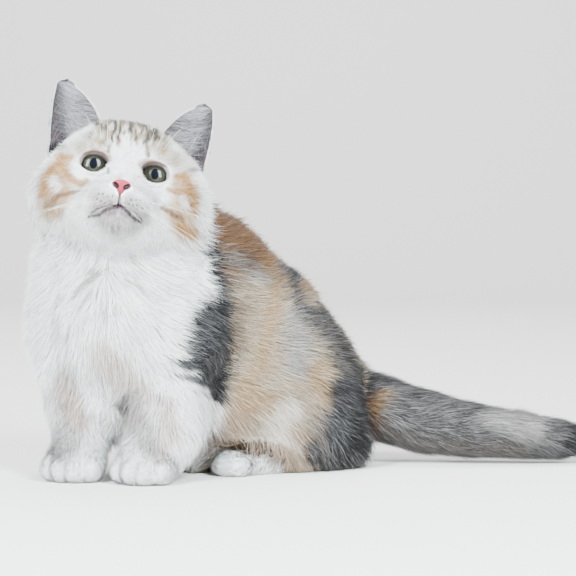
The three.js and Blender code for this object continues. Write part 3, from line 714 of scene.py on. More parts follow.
# Markings that the viewer sees, where the photograph shows them: each has a colour, the share of
# dark-tipped hairs, the share of pale hairs, its strength, its softness, and the beads of one stroke as
# x, y and half width in the photograph's pixels
BODY_MARKS = {
    "upper back": (
        "brown", 0.5, 0.06, 1, 0.4,
        (212, 222, 15), (232, 228, 17), (250, 243, 15), (262, 254, 12),
    ),
    "withers gold": ("gold", 0.4, 0.1, 0.75, 0.5, (213, 224, 8), (218, 233, 8)),
    "outline gold": ("gold", 0.4, 0.1, 0.5, 0.5, (246, 228, 7), (264, 243, 7), (272, 253, 6)),
    "shoulder grey": ("taupe", 0.5, 0.35, 0.85, 0.5, (226, 257, 9), (238, 262, 10), (250, 268, 9)),
    "shoulder low": ("taupe", 0.4, 0.35, 0.6, 0.5, (229, 284, 8), (238, 298, 8)),
    "flank": ("beige", 0.08, 0.3, 1, 0.35, (250, 300, 20), (256, 340, 28), (262, 380, 34), (256, 410, 30)),
    "flank silver": ("silver", 0.3, 0.5, 0.7, 0.6, (246, 276, 7), (262, 277, 7)),
    "flank gold": ("tan", 0.2, 0.2, 0.8, 0.5, (268, 256, 6), (266, 270, 6), (274, 280, 5)),
    "gold stripe": ("cream", 0.1, 0.2, 0.8, 0.6, (272, 292, 6), (267, 320, 7), (262, 345, 8), (256, 366, 8)),
    "flank pale": ("silver", 0.15, 0.5, 0.9, 0.5, (292, 318, 10), (298, 342, 15), (294, 364, 13)),
    "loin pale": ("beige", 0.2, 0.5, 0.7, 0.5, (322, 328, 8), (322, 350, 9)),
    "flank peach": ("cream", 0.05, 0.2, 0.75, 0.6, (246, 384, 12), (240, 404, 12), (262, 402, 10)),
    "flank right": ("cream", 0.1, 0.3, 0.75, 0.5, (316, 366, 9), (314, 382, 11), (322, 396, 8)),
    "knee": ("peach", 0.05, 0.3, 0.85, 0.5, (236, 418, 14), (222, 434, 11)),
    "knee shade": ("umber", 0.1, 0.2, 0.8, 0.5, (214, 436, 7), (206, 450, 7), (212, 458, 6)),
    "thigh": ("warm", 0, 0.3, 0.9, 0.45, (288, 408, 11), (274, 426, 15), (280, 442, 14), (250, 444, 10)),
    "thigh peach": ("peach", 0, 0.3, 0.6, 0.6, (298, 428, 8), (302, 440, 8)),
    "heel": ("umber", 0.1, 0.2, 0.65, 0.5, (248, 447, 5), (258, 454, 5)),
    "hem": ("peach", 0.1, 0.2, 0.7, 0.5, (276, 460, 7), (296, 463, 6)),
    "foot fringe": ("peach", 0.1, 0.1, 0.85, 0.5, (222, 444, 5), (245, 446, 5), (266, 446, 5), (286, 450, 6)),
    "foot shade": ("taupe", 0.2, 0.1, 0.6, 0.5, (232, 448, 3), (250, 450, 4), (272, 452, 4)),
    "saddle": ("dark", 0.4, 0.4, 0.95, 0.35, (285, 264, 6), (291, 278, 9), (294, 292, 10), (298, 306, 8)),
    "saddle edge": ("black", 0.2, 0.1, 0.8, 0.4, (290, 267, 4), (298, 276, 4), (303, 280, 2)),
    "saddle fringe": ("grey", 0.3, 0.4, 0.6, 0.5, (276, 262, 4), (280, 272, 4)),
    "outline tan": ("tan", 0.4, 0.2, 0.8, 0.5, (307, 285, 6), (313, 294, 5)),
    "loin": ("grey", 0.4, 0.45, 0.9, 0.4, (306, 313, 8), (320, 322, 12), (334, 340, 14), (342, 360, 14)),
    "loin edge": ("black", 0.2, 0.15, 0.9, 0.4, (318, 305, 5), (327, 317, 6), (341, 339, 5), (354, 364, 6)),
    "rump": ("slate", 0.5, 0.4, 1, 0.4, (344, 384, 14), (338, 408, 16), (336, 430, 18), (346, 452, 16)),
    "rump ticks": ("grey", 0.3, 0.6, 0.45, 0.6, (318, 416, 9), (312, 436, 9), (308, 454, 8)),
    "rump edge": (
        "black", 0.2, 0.15, 1, 0.35,
        (356, 370, 7), (358, 388, 7), (357, 404, 6), (354, 426, 6), (352, 446, 7),
    ),
    "rump side": ("black", 0.3, 0.25, 1, 0.4, (362, 396, 6), (365, 414, 8), (366, 434, 9), (364, 452, 9)),
    "rump foot": ("dark", 0.3, 0.4, 0.9, 0.4, (352, 462, 8), (364, 462, 7)),
    "rump low": ("slate", 0.5, 0.5, 0.9, 0.5, (308, 444, 8), (318, 452, 11), (334, 458, 12)),
    "rump hem": ("dark", 0.3, 0.3, 0.9, 0.45, (306, 456, 5), (318, 460, 8), (332, 464, 9), (346, 462, 7)),
    "bib": (
        "white", 0, 0, 1, 0.2,
        (190, 255, 17), (192, 275, 18), (186, 296, 18), (170, 320, 14), (160, 345, 16),
    ),
    # Painted shade: a grey over the white of the cat's right foreleg.
    "right foreleg": ("pale", 0, 0.1, 0.9, 0.6, (66, 372, 12), (68, 400, 17), (74, 428, 18), (62, 448, 13)),
    "foreleg": ("white", 0, 0, 1, 0.25, (186, 404, 22), (184, 424, 20), (172, 446, 18), (160, 466, 16)),
    "black band": ("black", 0.2, 0.2, 1, 0.25, (205, 236, 4), (208, 249, 7), (214, 264, 7), (217, 278, 8)),
    "black shoulder": (
        "black", 0.15, 0.32, 1, 0.2,
        (217, 278, 8), (219, 291, 10.5), (217, 303, 14), (211, 316, 19), (208, 329, 25), (208, 345, 24),
        (210, 358, 21), (212, 372, 16), (216, 386, 11), (219, 399, 6),
    ),
    "silvering": ("slate", 0.2, 0.5, 0.5, 0.6, (190, 330, 10), (193, 346, 11), (206, 318, 8)),
    "brown edge": ("umber", 0.3, 0.2, 0.6, 0.5, (236, 300, 4), (239, 324, 4), (238, 346, 4)),
    "first finger": ("black", 0.1, 0.15, 0.95, 0.35, (163, 357, 0.8), (175, 360, 3.5), (192, 364, 7)),
    "second finger": ("black", 0.1, 0.15, 0.9, 0.35, (167, 371, 0.8), (181, 374, 2.4), (198, 379, 5)),
    "third finger": ("black", 0.1, 0.2, 0.7, 0.4, (190, 388, 0.8), (206, 394, 3)),
    "chest blush": (
        "blush", 0, 0.2, 0.7, 0.8,
        (100, 350, 11), (118, 370, 16), (138, 394, 16), (132, 414, 12),
    ),
    "arm fold": ("blush", 0, 0.2, 0.5, 0.6, (158, 396, 4), (168, 402, 3)),
    "foreleg blush": ("blush", 0, 0.2, 0.7, 0.8, (166, 410, 10), (168, 430, 13), (160, 450, 11)),
    "foreleg shade": ("pale", 0, 0.2, 0.95, 0.7, (130, 400, 14), (140, 425, 14), (150, 445, 12)),
    "right blush": ("blush", 0, 0.2, 0.65, 0.8, (66, 385, 9), (74, 402, 10), (82, 420, 9)),
    # Painted shade in the folds of the white chest's coat: silver strokes along its creases.
    "crease a": ("silver", 0, 0, 0.7, 0.6, (102, 270, 2), (88, 282, 2.6), (74, 295, 1.8)),
    "crease b": ("silver", 0, 0, 0.6, 0.6, (92, 290, 2.2), (82, 307, 1.8)),
    "crease c": ("silver", 0, 0, 0.6, 0.6, (128, 283, 2), (142, 291, 2.2), (151, 293, 1.8)),
    "crease d": ("silver", 0, 0, 0.6, 0.7, (88, 269, 2), (110, 272, 2.6), (131, 268, 2)),
    "crease e": ("silver", 0, 0, 0.5, 0.6, (99, 300, 2), (112, 304, 2.4), (124, 300, 2)),
    "crease f": ("silver", 0, 0, 0.4, 0.7, (88, 314, 2), (102, 318, 2.4), (118, 315, 2)),
}

HEAD_MARKS = {
    "crown": ("fawn", 0.35, 0.2, 0.85, 0.4, (104, 134, 13), (124, 127, 11), (146, 133, 12), (160, 142, 11)),
    "right brow": ("fawn", 0.15, 0.3, 0.7, 0.5, (90, 143, 9), (82, 148, 6)),
    "left brow": ("fawn", 0.15, 0.3, 0.7, 0.5, (164, 154, 9), (174, 160, 7)),
    "right temple pale": ("fawn", 0.1, 0.3, 0.5, 0.7, (76, 148, 9), (67, 155, 7)),
    "left temple pale": ("fawn", 0.1, 0.3, 0.5, 0.7, (180, 160, 10), (188, 172, 8)),
    "blaze": ("white", 0, 0, 0.95, 0.4, (128, 160, 15), (127, 148, 10), (126, 138, 5)),
    "right cheek": ("shell", 0.02, 0.3, 0.85, 0.4, (62, 162, 9), (56, 176, 13), (58, 192, 16), (52, 206, 14)),
    "right temple": ("apricot", 0, 0.15, 0.8, 0.75, (60, 159, 4), (71, 157, 3)),
    "right arc": ("apricot", 0, 0.15, 1, 0.75, (59, 164, 4), (50, 171, 5), (45, 181, 5.5), (42, 194, 4.5)),
    "right under eye": (
        "apricot", 0, 0.15, 0.9, 0.75,
        (63, 170, 4), (71, 179, 5), (80, 184, 4), (87, 181, 2.5),
    ),
    "right wedge": ("white", 0, 0, 0.8, 0.5, (53, 180, 4), (57, 188, 4)),
    "right streak": (
        "rust", 0, 0.05, 0.8, 0.65,
        (54, 196, 2.2), (63, 194.5, 2.8), (72, 192.5, 2.2), (79, 191, 1),
    ),
    "right streak low": ("rust", 0, 0.1, 0.8, 0.65, (47, 202, 1.8), (56, 199.5, 2.2)),
    "right cheek low": ("tan", 0, 0.1, 0.7, 0.5, (45, 207, 2.2), (54, 205, 2.2)),
    "right jaw": ("apricot", 0, 0.2, 0.4, 0.75, (50, 214, 4), (62, 214, 3)),
    "left cheek": (
        "shell", 0.02, 0.3, 0.85, 0.4,
        (182, 182, 11), (186, 198, 14), (180, 214, 15), (186, 230, 12),
    ),
    "left temple": (
        "apricot", 0, 0.15, 0.95, 0.75,
        (176, 177, 2.5), (185, 179, 3.5), (190, 186, 4.2), (194, 198, 4.5), (195, 212, 4),
    ),
    "left under eye": ("apricot", 0, 0.15, 0.85, 0.75, (168, 190, 2.5), (178, 191, 3.2), (188, 191, 3)),
    "left pale": ("white", 0, 0, 0.6, 0.6, (183, 199, 3.5), (186, 207, 4.5)),
    "left streak": (
        "rust", 0, 0.05, 0.8, 0.65,
        (162, 207.5, 1.8), (169, 211.5, 2.6), (174, 214.5, 3.4), (181, 218, 3.2),
    ),
    "left streak core": ("umber", 0, 0, 0.7, 0.5, (172, 213.5, 1.5), (177, 216, 1.5)),
    "left jaw": ("apricot", 0, 0.15, 1, 0.75, (178, 225, 3.5), (185, 231, 5.5), (194, 234, 5)),
    "left lashes": ("taupe", 0, 0.2, 0.5, 0.5, (163, 203, 1.2), (165, 206, 1.2)),
    "stripe a": ("stripe", 0.4, 0.1, 0.6, 0.7, (108, 123, 1.6), (105, 130, 1.2)),
    "stripe b": ("stripe", 0.4, 0.1, 0.85, 0.7, (116.5, 123, 2), (115.5, 129, 1.8), (112, 136, 1.3)),
    "stripe c": ("stripe", 0.4, 0.1, 0.8, 0.7, (125, 121, 2), (125.5, 129, 1.4)),
    "stripe d": ("stripe", 0.4, 0.1, 0.55, 0.7, (133, 122, 1.3), (134, 129, 1)),
    "stripe e": ("stripe", 0.4, 0.1, 0.75, 0.7, (139, 123, 1.8), (139.5, 130, 1.2)),
    "stripe f": ("stripe", 0.4, 0.1, 0.9, 0.7, (146.5, 126, 2.3), (147.5, 135, 2.6), (147.5, 143, 1.8)),
    "stripe g": ("taupe", 0.2, 0.1, 0.6, 0.5, (131, 135, 1), (131, 147, 0.9)),
    "stripe h": ("stripe", 0.4, 0.1, 0.5, 0.7, (154, 130, 1.4), (157, 136, 1.2)),
    "stripe i": ("taupe", 0.2, 0.1, 0.5, 0.5, (99, 128, 1.3), (97, 134, 1.2)),
    "gold a": ("tan", 0.1, 0.1, 0.85, 0.5, (109.5, 139, 2.2), (108, 150, 1.8)),
    "gold b": ("tan", 0.1, 0.1, 0.9, 0.5, (147, 146, 2), (148, 155, 2)),
    "gold c": ("apricot", 0.1, 0.1, 0.7, 0.5, (120, 139, 1.3), (119.5, 147, 1.1)),
    "gold d": ("apricot", 0.1, 0.1, 0.6, 0.5, (137, 136, 1.3), (137.5, 145, 1.1)),
    "gold e": ("apricot", 0.1, 0.1, 0.6, 0.5, (102, 138, 1.4), (100, 146, 1.2)),
    "gold f": ("apricot", 0.1, 0.1, 0.6, 0.5, (163, 147, 2.2), (163.5, 154, 1.8)),
    "right lid": (
        "lid", 0, 0, 0.7, 0.6,
        (85, 153.5, 1.5), (94, 150.6, 1.8), (103, 153, 1.8), (109, 162, 1.4),
    ),
    "left lid": (
        "lid", 0, 0, 0.7, 0.6,
        (142.5, 168, 1.5), (149, 162.8, 1.7), (157, 161.8, 1.8), (165, 165.8, 2),
    ),
    "right lower lid": (
        "lid", 0, 0, 0.35, 0.5,
        (82, 166, 1), (88, 174, 1.1), (97, 175.5, 1.1), (106, 173.5, 1.1),
    ),
    "left lower lid": (
        "lid", 0, 0, 0.35, 0.5,
        (142, 181, 1.1), (150, 186, 1.1), (159, 187, 1.1), (166.5, 182.5, 1.1),
    ),
    "right tear": ("mauve", 0, 0, 0.8, 0.5, (108, 169, 1.5), (108, 174, 1.3)),
    "left tear": ("mauve", 0, 0, 0.7, 0.5, (139.3, 176.5, 1.3)),
    "nose top": ("pink", 0, 0, 0.5, 0.7, (121, 178.5, 4.5)),
    # Grey on the whisker pads: partly the grey hairs there, partly painted shade.
    "right pad": ("pale", 0, 0.2, 1, 0.6, (98, 198, 9), (107, 203, 10), (96, 210, 8)),
    "left pad": ("pale", 0, 0.2, 0.95, 0.6, (131, 203, 8), (139, 210, 10), (144, 219, 8)),
    "right pad shade": ("mauve", 0.1, 0.2, 0.35, 0.7, (94, 207, 4), (103, 207, 4), (112, 203, 3)),
    "left pad shade": ("mauve", 0.1, 0.2, 0.3, 0.7, (126, 204, 3), (134, 210, 3.5), (143, 217, 4)),
    # Painted shade in the groove between the whisker pads.
    "philtrum": ("mauve", 0, 0.1, 0.5, 0.7, (119, 198, 2.5), (119, 204, 3)),
    "chin shade": ("pale", 0, 0.2, 1, 0.6, (104, 220, 9), (118, 224, 14), (132, 226, 9)),
    # Painted shade under the mouth, in lilac.
    "lower lip": ("mauve", 0, 0.2, 0.65, 0.6, (108, 212.5, 3), (118, 211, 3.6), (127, 215, 3)),
    "cleft": ("mauve", 0, 0, 0.85, 0.5, (119.5, 194, 1), (119.4, 204, 1.6)),
    "right lip": (
        "lip", 0, 0, 0.9, 0.6,
        (119, 206, 2.2), (108, 208.5, 1.9), (100, 213.3, 1.9), (89, 217, 1.4),
    ),
    "left lip": ("lip", 0, 0, 0.95, 0.6, (119, 206, 2.2), (125, 209, 1.9), (132, 217, 2), (141, 223, 1.5)),
    "mouth": ("maroon", 0, 0, 1, 0.4, (114, 206, 1.1), (119, 205, 1.7), (123.5, 207, 1.2)),
    "right ear foot": ("black", 0, 0, 1, 0.35, (48.5, 141, 1.6), (47.5, 145.5, 1.6)),
    "right ear hair": ("taupe", 0.3, 0.4, 0.6, 0.5, (55, 147, 4), (63, 147, 3.5)),
    "left ear hair": ("taupe", 0.3, 0.4, 0.7, 0.5, (190, 170, 2.5), (196, 170, 2.5)),
    "left ear foot": ("dark", 0, 0, 0.9, 0.4, (204, 168, 1.5)),
}

TAIL_MARKS = {
    "tail": ("ash", 0.4, 0.4, 1, 0.3, (370, 405, 34), (430, 418, 34), (500, 428, 30), (560, 430, 30)),
    "tail root": ("black", 0.2, 0.15, 1, 0.35, (366, 374, 7), (363, 388, 9), (360, 404, 7), (357, 424, 5)),
    "root top": ("black", 0.3, 0.2, 0.85, 0.45, (372, 375, 5), (386, 381, 4)),
    "root brown": ("umber", 0.2, 0.2, 0.9, 0.5, (381, 394, 7), (372, 408, 9), (370, 426, 8)),
    "root gold": ("tan", 0.1, 0.2, 0.8, 0.5, (384, 392, 4), (371, 412, 5)),
    "blotch a": ("dark", 0.6, 0.3, 0.85, 0.75, (410, 389, 5), (419, 395, 6)),
    "blotch b": ("dark", 0.5, 0.35, 0.5, 0.6, (402, 404, 4), (410, 409, 4)),
    "blotch c": ("dark", 0.6, 0.3, 0.85, 0.75, (460, 396, 5), (468, 402, 6)),
    "blotch d": ("dark", 0.5, 0.35, 0.6, 0.6, (452, 410, 5), (464, 414, 5)),
    "blotch e": ("dark", 0.5, 0.3, 0.5, 0.6, (432, 389, 4), (446, 393, 4)),
    "blotch f": ("dark", 0.5, 0.3, 0.7, 0.6, (534, 406, 5), (548, 409, 4)),
    "tail top": ("dark", 0.6, 0.3, 0.6, 0.6, (392, 380, 3), (430, 387, 3), (478, 398, 3)),
    "tail pale": ("silver", 0.15, 0.5, 0.9, 0.75, (486, 420, 10), (506, 420, 12), (534, 424, 13)),
    "tail under": ("taupe", 0.2, 0.35, 0.6, 0.6, (390, 436, 8), (430, 446, 8), (470, 450, 8), (520, 450, 7)),
    "ring": ("grey", 0.4, 0.35, 0.7, 0.5, (552, 412, 6), (549, 428, 6), (553, 444, 7)),
    "tip": ("black", 0.2, 0.15, 0.95, 0.4, (580, 408, 8), (577, 426, 9), (572, 442, 8)),
}

# Patches of the far side: middle, radii, colour, dark-tipped hairs, pale hairs and strength
FAR_SPOTS = (
    ((-140, 70, 110), (26, 34, 46), "black", 0.3, 0.3, 0.9),
    ((-118, 96, 60), (30, 30, 34), "beige", 0.1, 0.3, 0.9),
    ((-86, 128, 100), (32, 26, 34), "tan", 0.4, 0.3, 0.8),
    ((-60, 150, 60), (34, 26, 30), "grey", 0.5, 0.5, 0.9),
    ((-30, 168, 70), (24, 24, 30), "black", 0.3, 0.3, 0.8),
    ((-70, 110, 142), (26, 30, 16), "black", 0.3, 0.3, 0.8),
    ((-20, 110, 132), (22, 22, 14), "dark", 0.4, 0.3, 0.8),
    ((-96, 150, 26), (26, 26, 18), "warm", 0.05, 0.2, 0.9),
)


def markings(p, normals, share):
    """Beige flanks under brown ticked shoulders; patches on the far side; white in front with a little
    shade in its tufts, and on legs and paws; then the marks that the viewer sees, the tail and the head.
    Gives the colours, the shares of dark-tipped hairs and the shares of pale hairs."""
    rough = p + noise3(p, 9, 3) * 2.0 + noise3(p, 4, 9) * 1.2
    ahead, left, up = CHEST.into(rough).T
    paint = Paint(rough, normals, "beige", 0.06, 0.25)
    paint.lay(ease(100, 130, up + ahead * 0.15) * 0.9, "brown", 0.6, 0.3)
    for spot in FAR_SPOTS:
        paint.spot(*spot)
    front = ease(64, 59, left) * ease(-74, -66, left)
    front = front * ease(-52, -40, ahead) * ease(172, 158, up - np.minimum(ahead, 0))
    paint.lay(front, "white")
    # Painted shade between the tufts of the white front: grey laid where stretched noise is high.
    tufts = noise(rough * (0.16, 0.16, 0.06), 1.0, 35) * 0.6
    tufts = tufts + noise(rough * (0.35, 0.35, 0.12), 1.0, 36) * 0.6
    paint.lay(front * ease(0.1, 0.8, tufts) * 0.75, "pale")
    legs = share["foreleg"] * ease(86, 62, up) * ease(-52, -40, ahead)
    paint.lay(legs, "white")
    paws = share["forepaw"] + share["hindpaw"] * ease(0.3, 0.05, heel_at(p))
    paint.lay(ease(0.45, 0.8, paws), "white")
    paint.marks(BODY_MARKS, 1 - ease(0.35, 0.65, share["head"] + share["tail"]))
    tail = ease(0.3, 0.75, share["tail"])
    paint.lay(tail, "ash", 0.4, 0.45)
    paint.marks(TAIL_MARKS, tail)
    paint.lay(tail * ease(182, 190, rough[:, 0]), "black", 0.2, 0.15)
    head_paint(p, share["head"], paint)
    return paint.colour, np.clip(paint.tick, 0, 1), np.clip(paint.fleck, 0, 1)


# Ovals in the photograph's pixels, as middle and radii: the striped forehead, the foot of the blaze,
# which has no stripes, and the chin
STRIPED = ((129, 126), (50, 20))
BLAZE_FOOT = ((128, 156), (13, 18))
CHIN = ((117, 221), (17, 13))


def head_paint(p, share, paint):
    """White, with a brown nape and a fawn top; the marks of the head; dark, white and apricot threads on
    the forehead, and mauve threads, partly painted shade, and white ones on the chin; painted shadow,
    nearly black, in the nostrils; a brown edge to the lids."""
    head = ease(0.3, 0.6, share)
    rough = p + noise3(p, 5, 14) * 0.8
    x, side, y = HEAD.into(rough).T
    behind = ease(-32, -44, x) * ease(-34, -14, y)
    paint.lay(head * (1 - behind), "white")
    paint.lay(head * behind, "brown", 0.5, 0.1)
    top = ease(20, 34, y) * ease(-10, -26, x) * mix(1, 0.3, ease(-42, -66, x))
    paint.lay(head * top, "fawn", 0.4, 0.2)
    paint.picture = in_picture(rough)
    paint.marks(HEAD_MARKS, head)
    threads = noise(stacked(side / 1.3, y / 9, x / 9), 1.0, 31)
    picture = in_picture(p)
    brow = ease(1.2, 0.8, in_oval(picture, *STRIPED)) * head * paint.seen
    brow = brow * ease(0.8, 1.2, in_oval(picture, *BLAZE_FOOT))
    paint.lay(brow * ease(0.0, 0.45, threads) * 0.95, "stripe", 0.4, 0.1)
    paint.lay(brow * ease(-0.15, -0.6, threads) * 0.7, "white", 0, 0.1)
    # Mauve threads on the chin: partly the lilac-grey streaks of the coat, partly painted shade under the
    # jaw.
    chin = ease(1.25, 0.7, in_oval(picture, *CHIN)) * head * paint.seen
    paint.lay(chin * ease(0.0, 0.7, threads) * 0.6, "mauve", 0, 0.2)
    paint.lay(chin * ease(-0.3, -0.7, threads) * 0.3, "white")
    far = noise(stacked(side / 1.5, y / 11, x / 11) + 40, 1.0, 33)
    paint.lay(brow * ease(0.25, 0.7, far) * 0.6, "apricot", 0, 0.1)
    # Painted shadow inside the nostrils: nearly black maroon on the skin there.
    paint.lay(head * ease(0.8, 0.3, nostril_field(p)), "maroon")
    for place, lid_side in zip(OPENINGS, (1, -1)):
        edge = opening_field(place)(rough)
        across, above = place.into(p)[:, 1:].T
        upper = ease(-2, 2, above) * ease(7, -3, across * lid_side)
        band = ease(mix(1.1, 2.9, upper), 0.3, edge) * mix(0.6, 0.85, upper)
        paint.lay(band * (edge < 4), "lid")


# Lie of the coat


# How steeply the coat of the flank falls, by height in millimetres
FALL_HEIGHTS = (10, 35, 55, 80, 100, 130, 160)
FALLS = (2.2, 1.0, 0.6, 0.25, 0.0, -0.1, -0.25)
# The point on the face that the coat of the head lies away from, in the head's frame
MUZZLE_TOP = (15, 0, -14)
# The whorl of the chest
WHORL = (-111, -9, 128)
# The height of the middle of the tail by its place along X
TAIL_ALONG = (14, 92, 204)
TAIL_HEIGHTS = (50, 27, 15)


def heel_at(p):
    """The share of the hind foot's rear, which the coat of the thigh hangs over."""
    return ease(26, 17, RUMP.into(p)[:, 0])


def flow_at(p, share):
    """Which way the coat lies: away from the nose on the head; out of a whorl on the chest, down it and
    outwards; back along the flanks; down the legs; forwards on the paws; along the tail."""
    q = HEAD.into(p)
    head = HEAD.way(unit(q - MUZZLE_TOP))
    fall = ease(-2, -30, q[:, 2]) * ease(24, 44, far_from(q, FACE))
    head = head + fall[:, None] * np.array((0, 0, -0.9))
    c = CHEST.into(p)
    front = ease(-52, -12, c[:, 0])
    down = np.array((0, 0, -1.0))
    across = np.where(c[:, 1] < 0, c[:, 1] / 36, 2.2 * ease(8, 52, c[:, 1]))
    lean = across * ease(40, 90, p[:, 2])
    spread = CHEST.axes[1] * lean[:, None] + down
    spread = spread - CHEST.axes[0] * ease(34, 58, np.abs(c[:, 1]))[:, None] * 0.8
    near = np.exp(-((far_from(p, WHORL) / 19) ** 2))
    spread = unit(spread) + unit(p - WHORL) * near[:, None] * 1.2
    steep = np.interp(p[:, 2], FALL_HEIGHTS, FALLS)[:, None]
    back = unit(-(RUMP.axes[0] + CHEST.axes[0])) + down * steep
    trunk = mix(back, unit(spread), front[:, None])
    leg = down + CHEST.axes[1] * (c[:, 1:2] - np.sign(c[:, 1:2]) * PAW_SPREAD) / 110
    leg = mix(unit(leg), unit(spread), ease(50, 84, p[:, 2])[:, None])
    toe = RUMP.axes[0] + down * 0.4
    over_tail = p[:, 2] - np.interp(p[:, 0], TAIL_ALONG, TAIL_HEIGHTS)
    tail_fall = 0.12 + 0.3 * ease(6, -12, over_tail)
    ways = {
        "head": head,
        "trunk": trunk,
        "foreleg": leg,
        "forepaw": CHEST.axes[0] + down * 0.5,
        "hindpaw": mix(toe, back, heel_at(p)[:, None]),
        "tail": np.array((1, -0.02, 0)) + down * tail_fall[:, None],
    }
    flow = sum(share[name][:, None] * unit(way) for name, way in ways.items())
    return unit(flow)


def ear_foot_at(q):
    """1 along the line where an ear leaves the head, easing to 0 at 17 mm from it, in the head's frame."""
    mirrored = stacked(q[:, 0], np.abs(q[:, 1]), q[:, 2])
    start = np.array(EAR_INNER[0])
    way = np.array(EAR_OUTER[0]) - start
    t = np.clip((mirrored - start) @ way / (way @ way), 0, 1)
    return ease(17, 8, far_from(mirrored - start, t[:, None] * way))


def coat_at(p, share):
    """At each point: what the table gives, and how high the tips stand over the skin. Hairs are longer
    between the forelegs and at the foot of the ears, and shorter over the hind foot and by the lids."""
    q = HEAD.into(p)
    face, cheek = face_shares(q)
    chest = ease(-52, -20, CHEST.into(p)[:, 0]) * ease(30, 70, p[:, 2])
    muzzle = ease(28, 12, far_from(q, (16, 0, -20)))
    chin = ease(-34, -46, q[:, 2])
    ear_foot = ear_foot_at(q)
    hem = ease(40, 16, p[:, 2])
    heel = heel_at(p)
    over_foot = ease(16, 28, RUMP.into(p)[:, 0]) * ease(34, 16, p[:, 2])
    ahead, aside, tall = CHEST.into(p).T
    fluff = ease(15, 7, np.abs(aside)) * ease(26, 38, tall) * ease(86, 66, tall)
    fluff = fluff * ease(-40, -26, ahead)
    trunk_long = mix(20, 21, chest) + 4 * hem - 13 * over_foot
    # Length, width, hairs to a square millimetre, size of the clumps and pull
    table = {
        "head": (
            mix(mix(9.5, 4.8, face), 2.6, muzzle) + 9 * cheek + 6 * chin + 6 * ear_foot,
            mix(0.34, 0.26, face),
            mix(5.0, 6.1, face) - 1.2 * cheek,
            mix(4.5, 2.4, face) + 2 * cheek,
            mix(0.2, 0.1, face),
        ),
        "trunk": (trunk_long, 0.36, 3.2, mix(6, 8, chest), mix(0.24, 0.16, chest)),
        "foreleg": (12, 0.35, 3.6, 5, 0.16),
        "forepaw": (5.4, 0.32, 4.6, 3, 0.1),
        "hindpaw": (mix(5.6, 13, ease(0.35, 1, heel)), 0.34, 4.6, 4, 0.15),
        "tail": (21, 0.37, 3.4, 6, 0.22),
    }
    rows = [sum(share[name] * values[k] for name, values in table.items()) for k in range(5)]
    coat = SimpleNamespace(**dict(zip(("long", "wide", "dense", "clump", "pull"), rows)))
    lids = np.minimum(*[opening_field(place)(p) for place in OPENINGS])
    coat.long = np.minimum(coat.long, 1.0 + 0.6 * np.maximum(lids, 0))
    coat.long = coat.long + 8 * fluff
    lift = 4 * fluff + 2.2 * ear_foot * share["head"]
    coat.high = depth_at(p, share) * 1.25 + 0.2 + share["trunk"] * 2.5 * hem
    coat.high = coat.high + share["hindpaw"] * 5 * heel + lift
    return coat


def clump_middles(p, size, seed):
    """The nearest jittered lattice point to each root, and a random number for its clump."""
    q = p / size[:, None]
    base = np.floor(q - 0.5).astype(np.int64)
    best = np.full(len(p), 1e9)
    middle = np.zeros_like(p)
    number = np.zeros(len(p))
    for corner in np.ndindex(2, 2, 2):
        cell = base + np.array(corner)
        jitter = np.stack([hashed(cell, seed + k) for k in range(3)], axis=-1)
        at = cell + 0.15 + 0.7 * jitter
        far = far_from(at, q)
        nearer = far < best
        best = np.where(nearer, far, best)
        middle = np.where(nearer[:, None], at * size[:, None], middle)
        number = np.where(nearer, hashed(cell, seed + 7), number)
    return middle, number


# The share of hairs that stand out of the coat, and how deep a hair starts in the skin
STRAYS = 0.07
SUNK = 0.8


def grow(skin, roots, normals, coat, stations, rng):
    """Each hair walks along the lie of the coat in a few steps. After each step it is put back at its
    height over the skin, h = H (1 - (1 - t)^1.7), and its tip is drawn towards its clump's middle."""
    count = len(roots)
    middle, number = clump_middles(roots, coat.clump, 50)
    toward = middle - roots
    toward = toward - normals * dots(toward, normals)[:, None]
    reach = np.linalg.norm(toward, axis=-1, keepdims=True)
    toward = toward * np.minimum(1, coat.clump[:, None] / np.maximum(reach, 1e-6))
    stray = rng.random(count) < STRAYS
    height = coat.high * rng.uniform(0.55, 1.05, count) * np.where(stray, 1.25, 1)
    height = height * (1 + 0.14 * noise(roots, 9, 90))
    length = coat.long * rng.uniform(0.55, 1.15, count) * mix(0.85, 1.1, number)
    length = length * np.where(stray, 1.15, 1)
    bent = noise3(roots, 17, 70) * 0.3 + noise3(roots, 6, 80) * 0.2
    bent = bent + rng.normal(0, 0.14, (count, 3)) + (hashed_turns(number) - 0.5) * 0.16
    spine = [roots - normals * SUNK]
    normal = [normals]
    at = roots
    facing_out = normals
    for before, t in zip(stations, stations[1:]):
        way = flow_at(at, shares_at(at)) + bent
        way = unit(way - facing_out * dots(way, facing_out)[:, None])
        at = at + way * (length * (t - before))[:, None]
        slope = skin.slope(at)
        steep = np.maximum(np.linalg.norm(slope, axis=-1), 0.3)
        facing_out = slope / steep[:, None]
        wanted = height * (1 - (1 - t) ** 1.7)
        at = at + facing_out * ((wanted - skin.at(at)) / steep)[:, None]
        spine.append(at + toward * (coat.pull * t**1.3)[:, None])
        normal.append(facing_out)
    return np.stack(spine, axis=1), np.stack(normal, axis=1), number


def hashed_turns(number):
    """Three numbers from 0 to 1 out of one, the same for all hairs of a clump."""
    return np.stack([np.modf(number * k)[0] for k in (13.7, 57.3, 191.9)], axis=-1)


# The side of the square that a hair takes up in its piece's UV map
HAIR_PATCH = 0.003


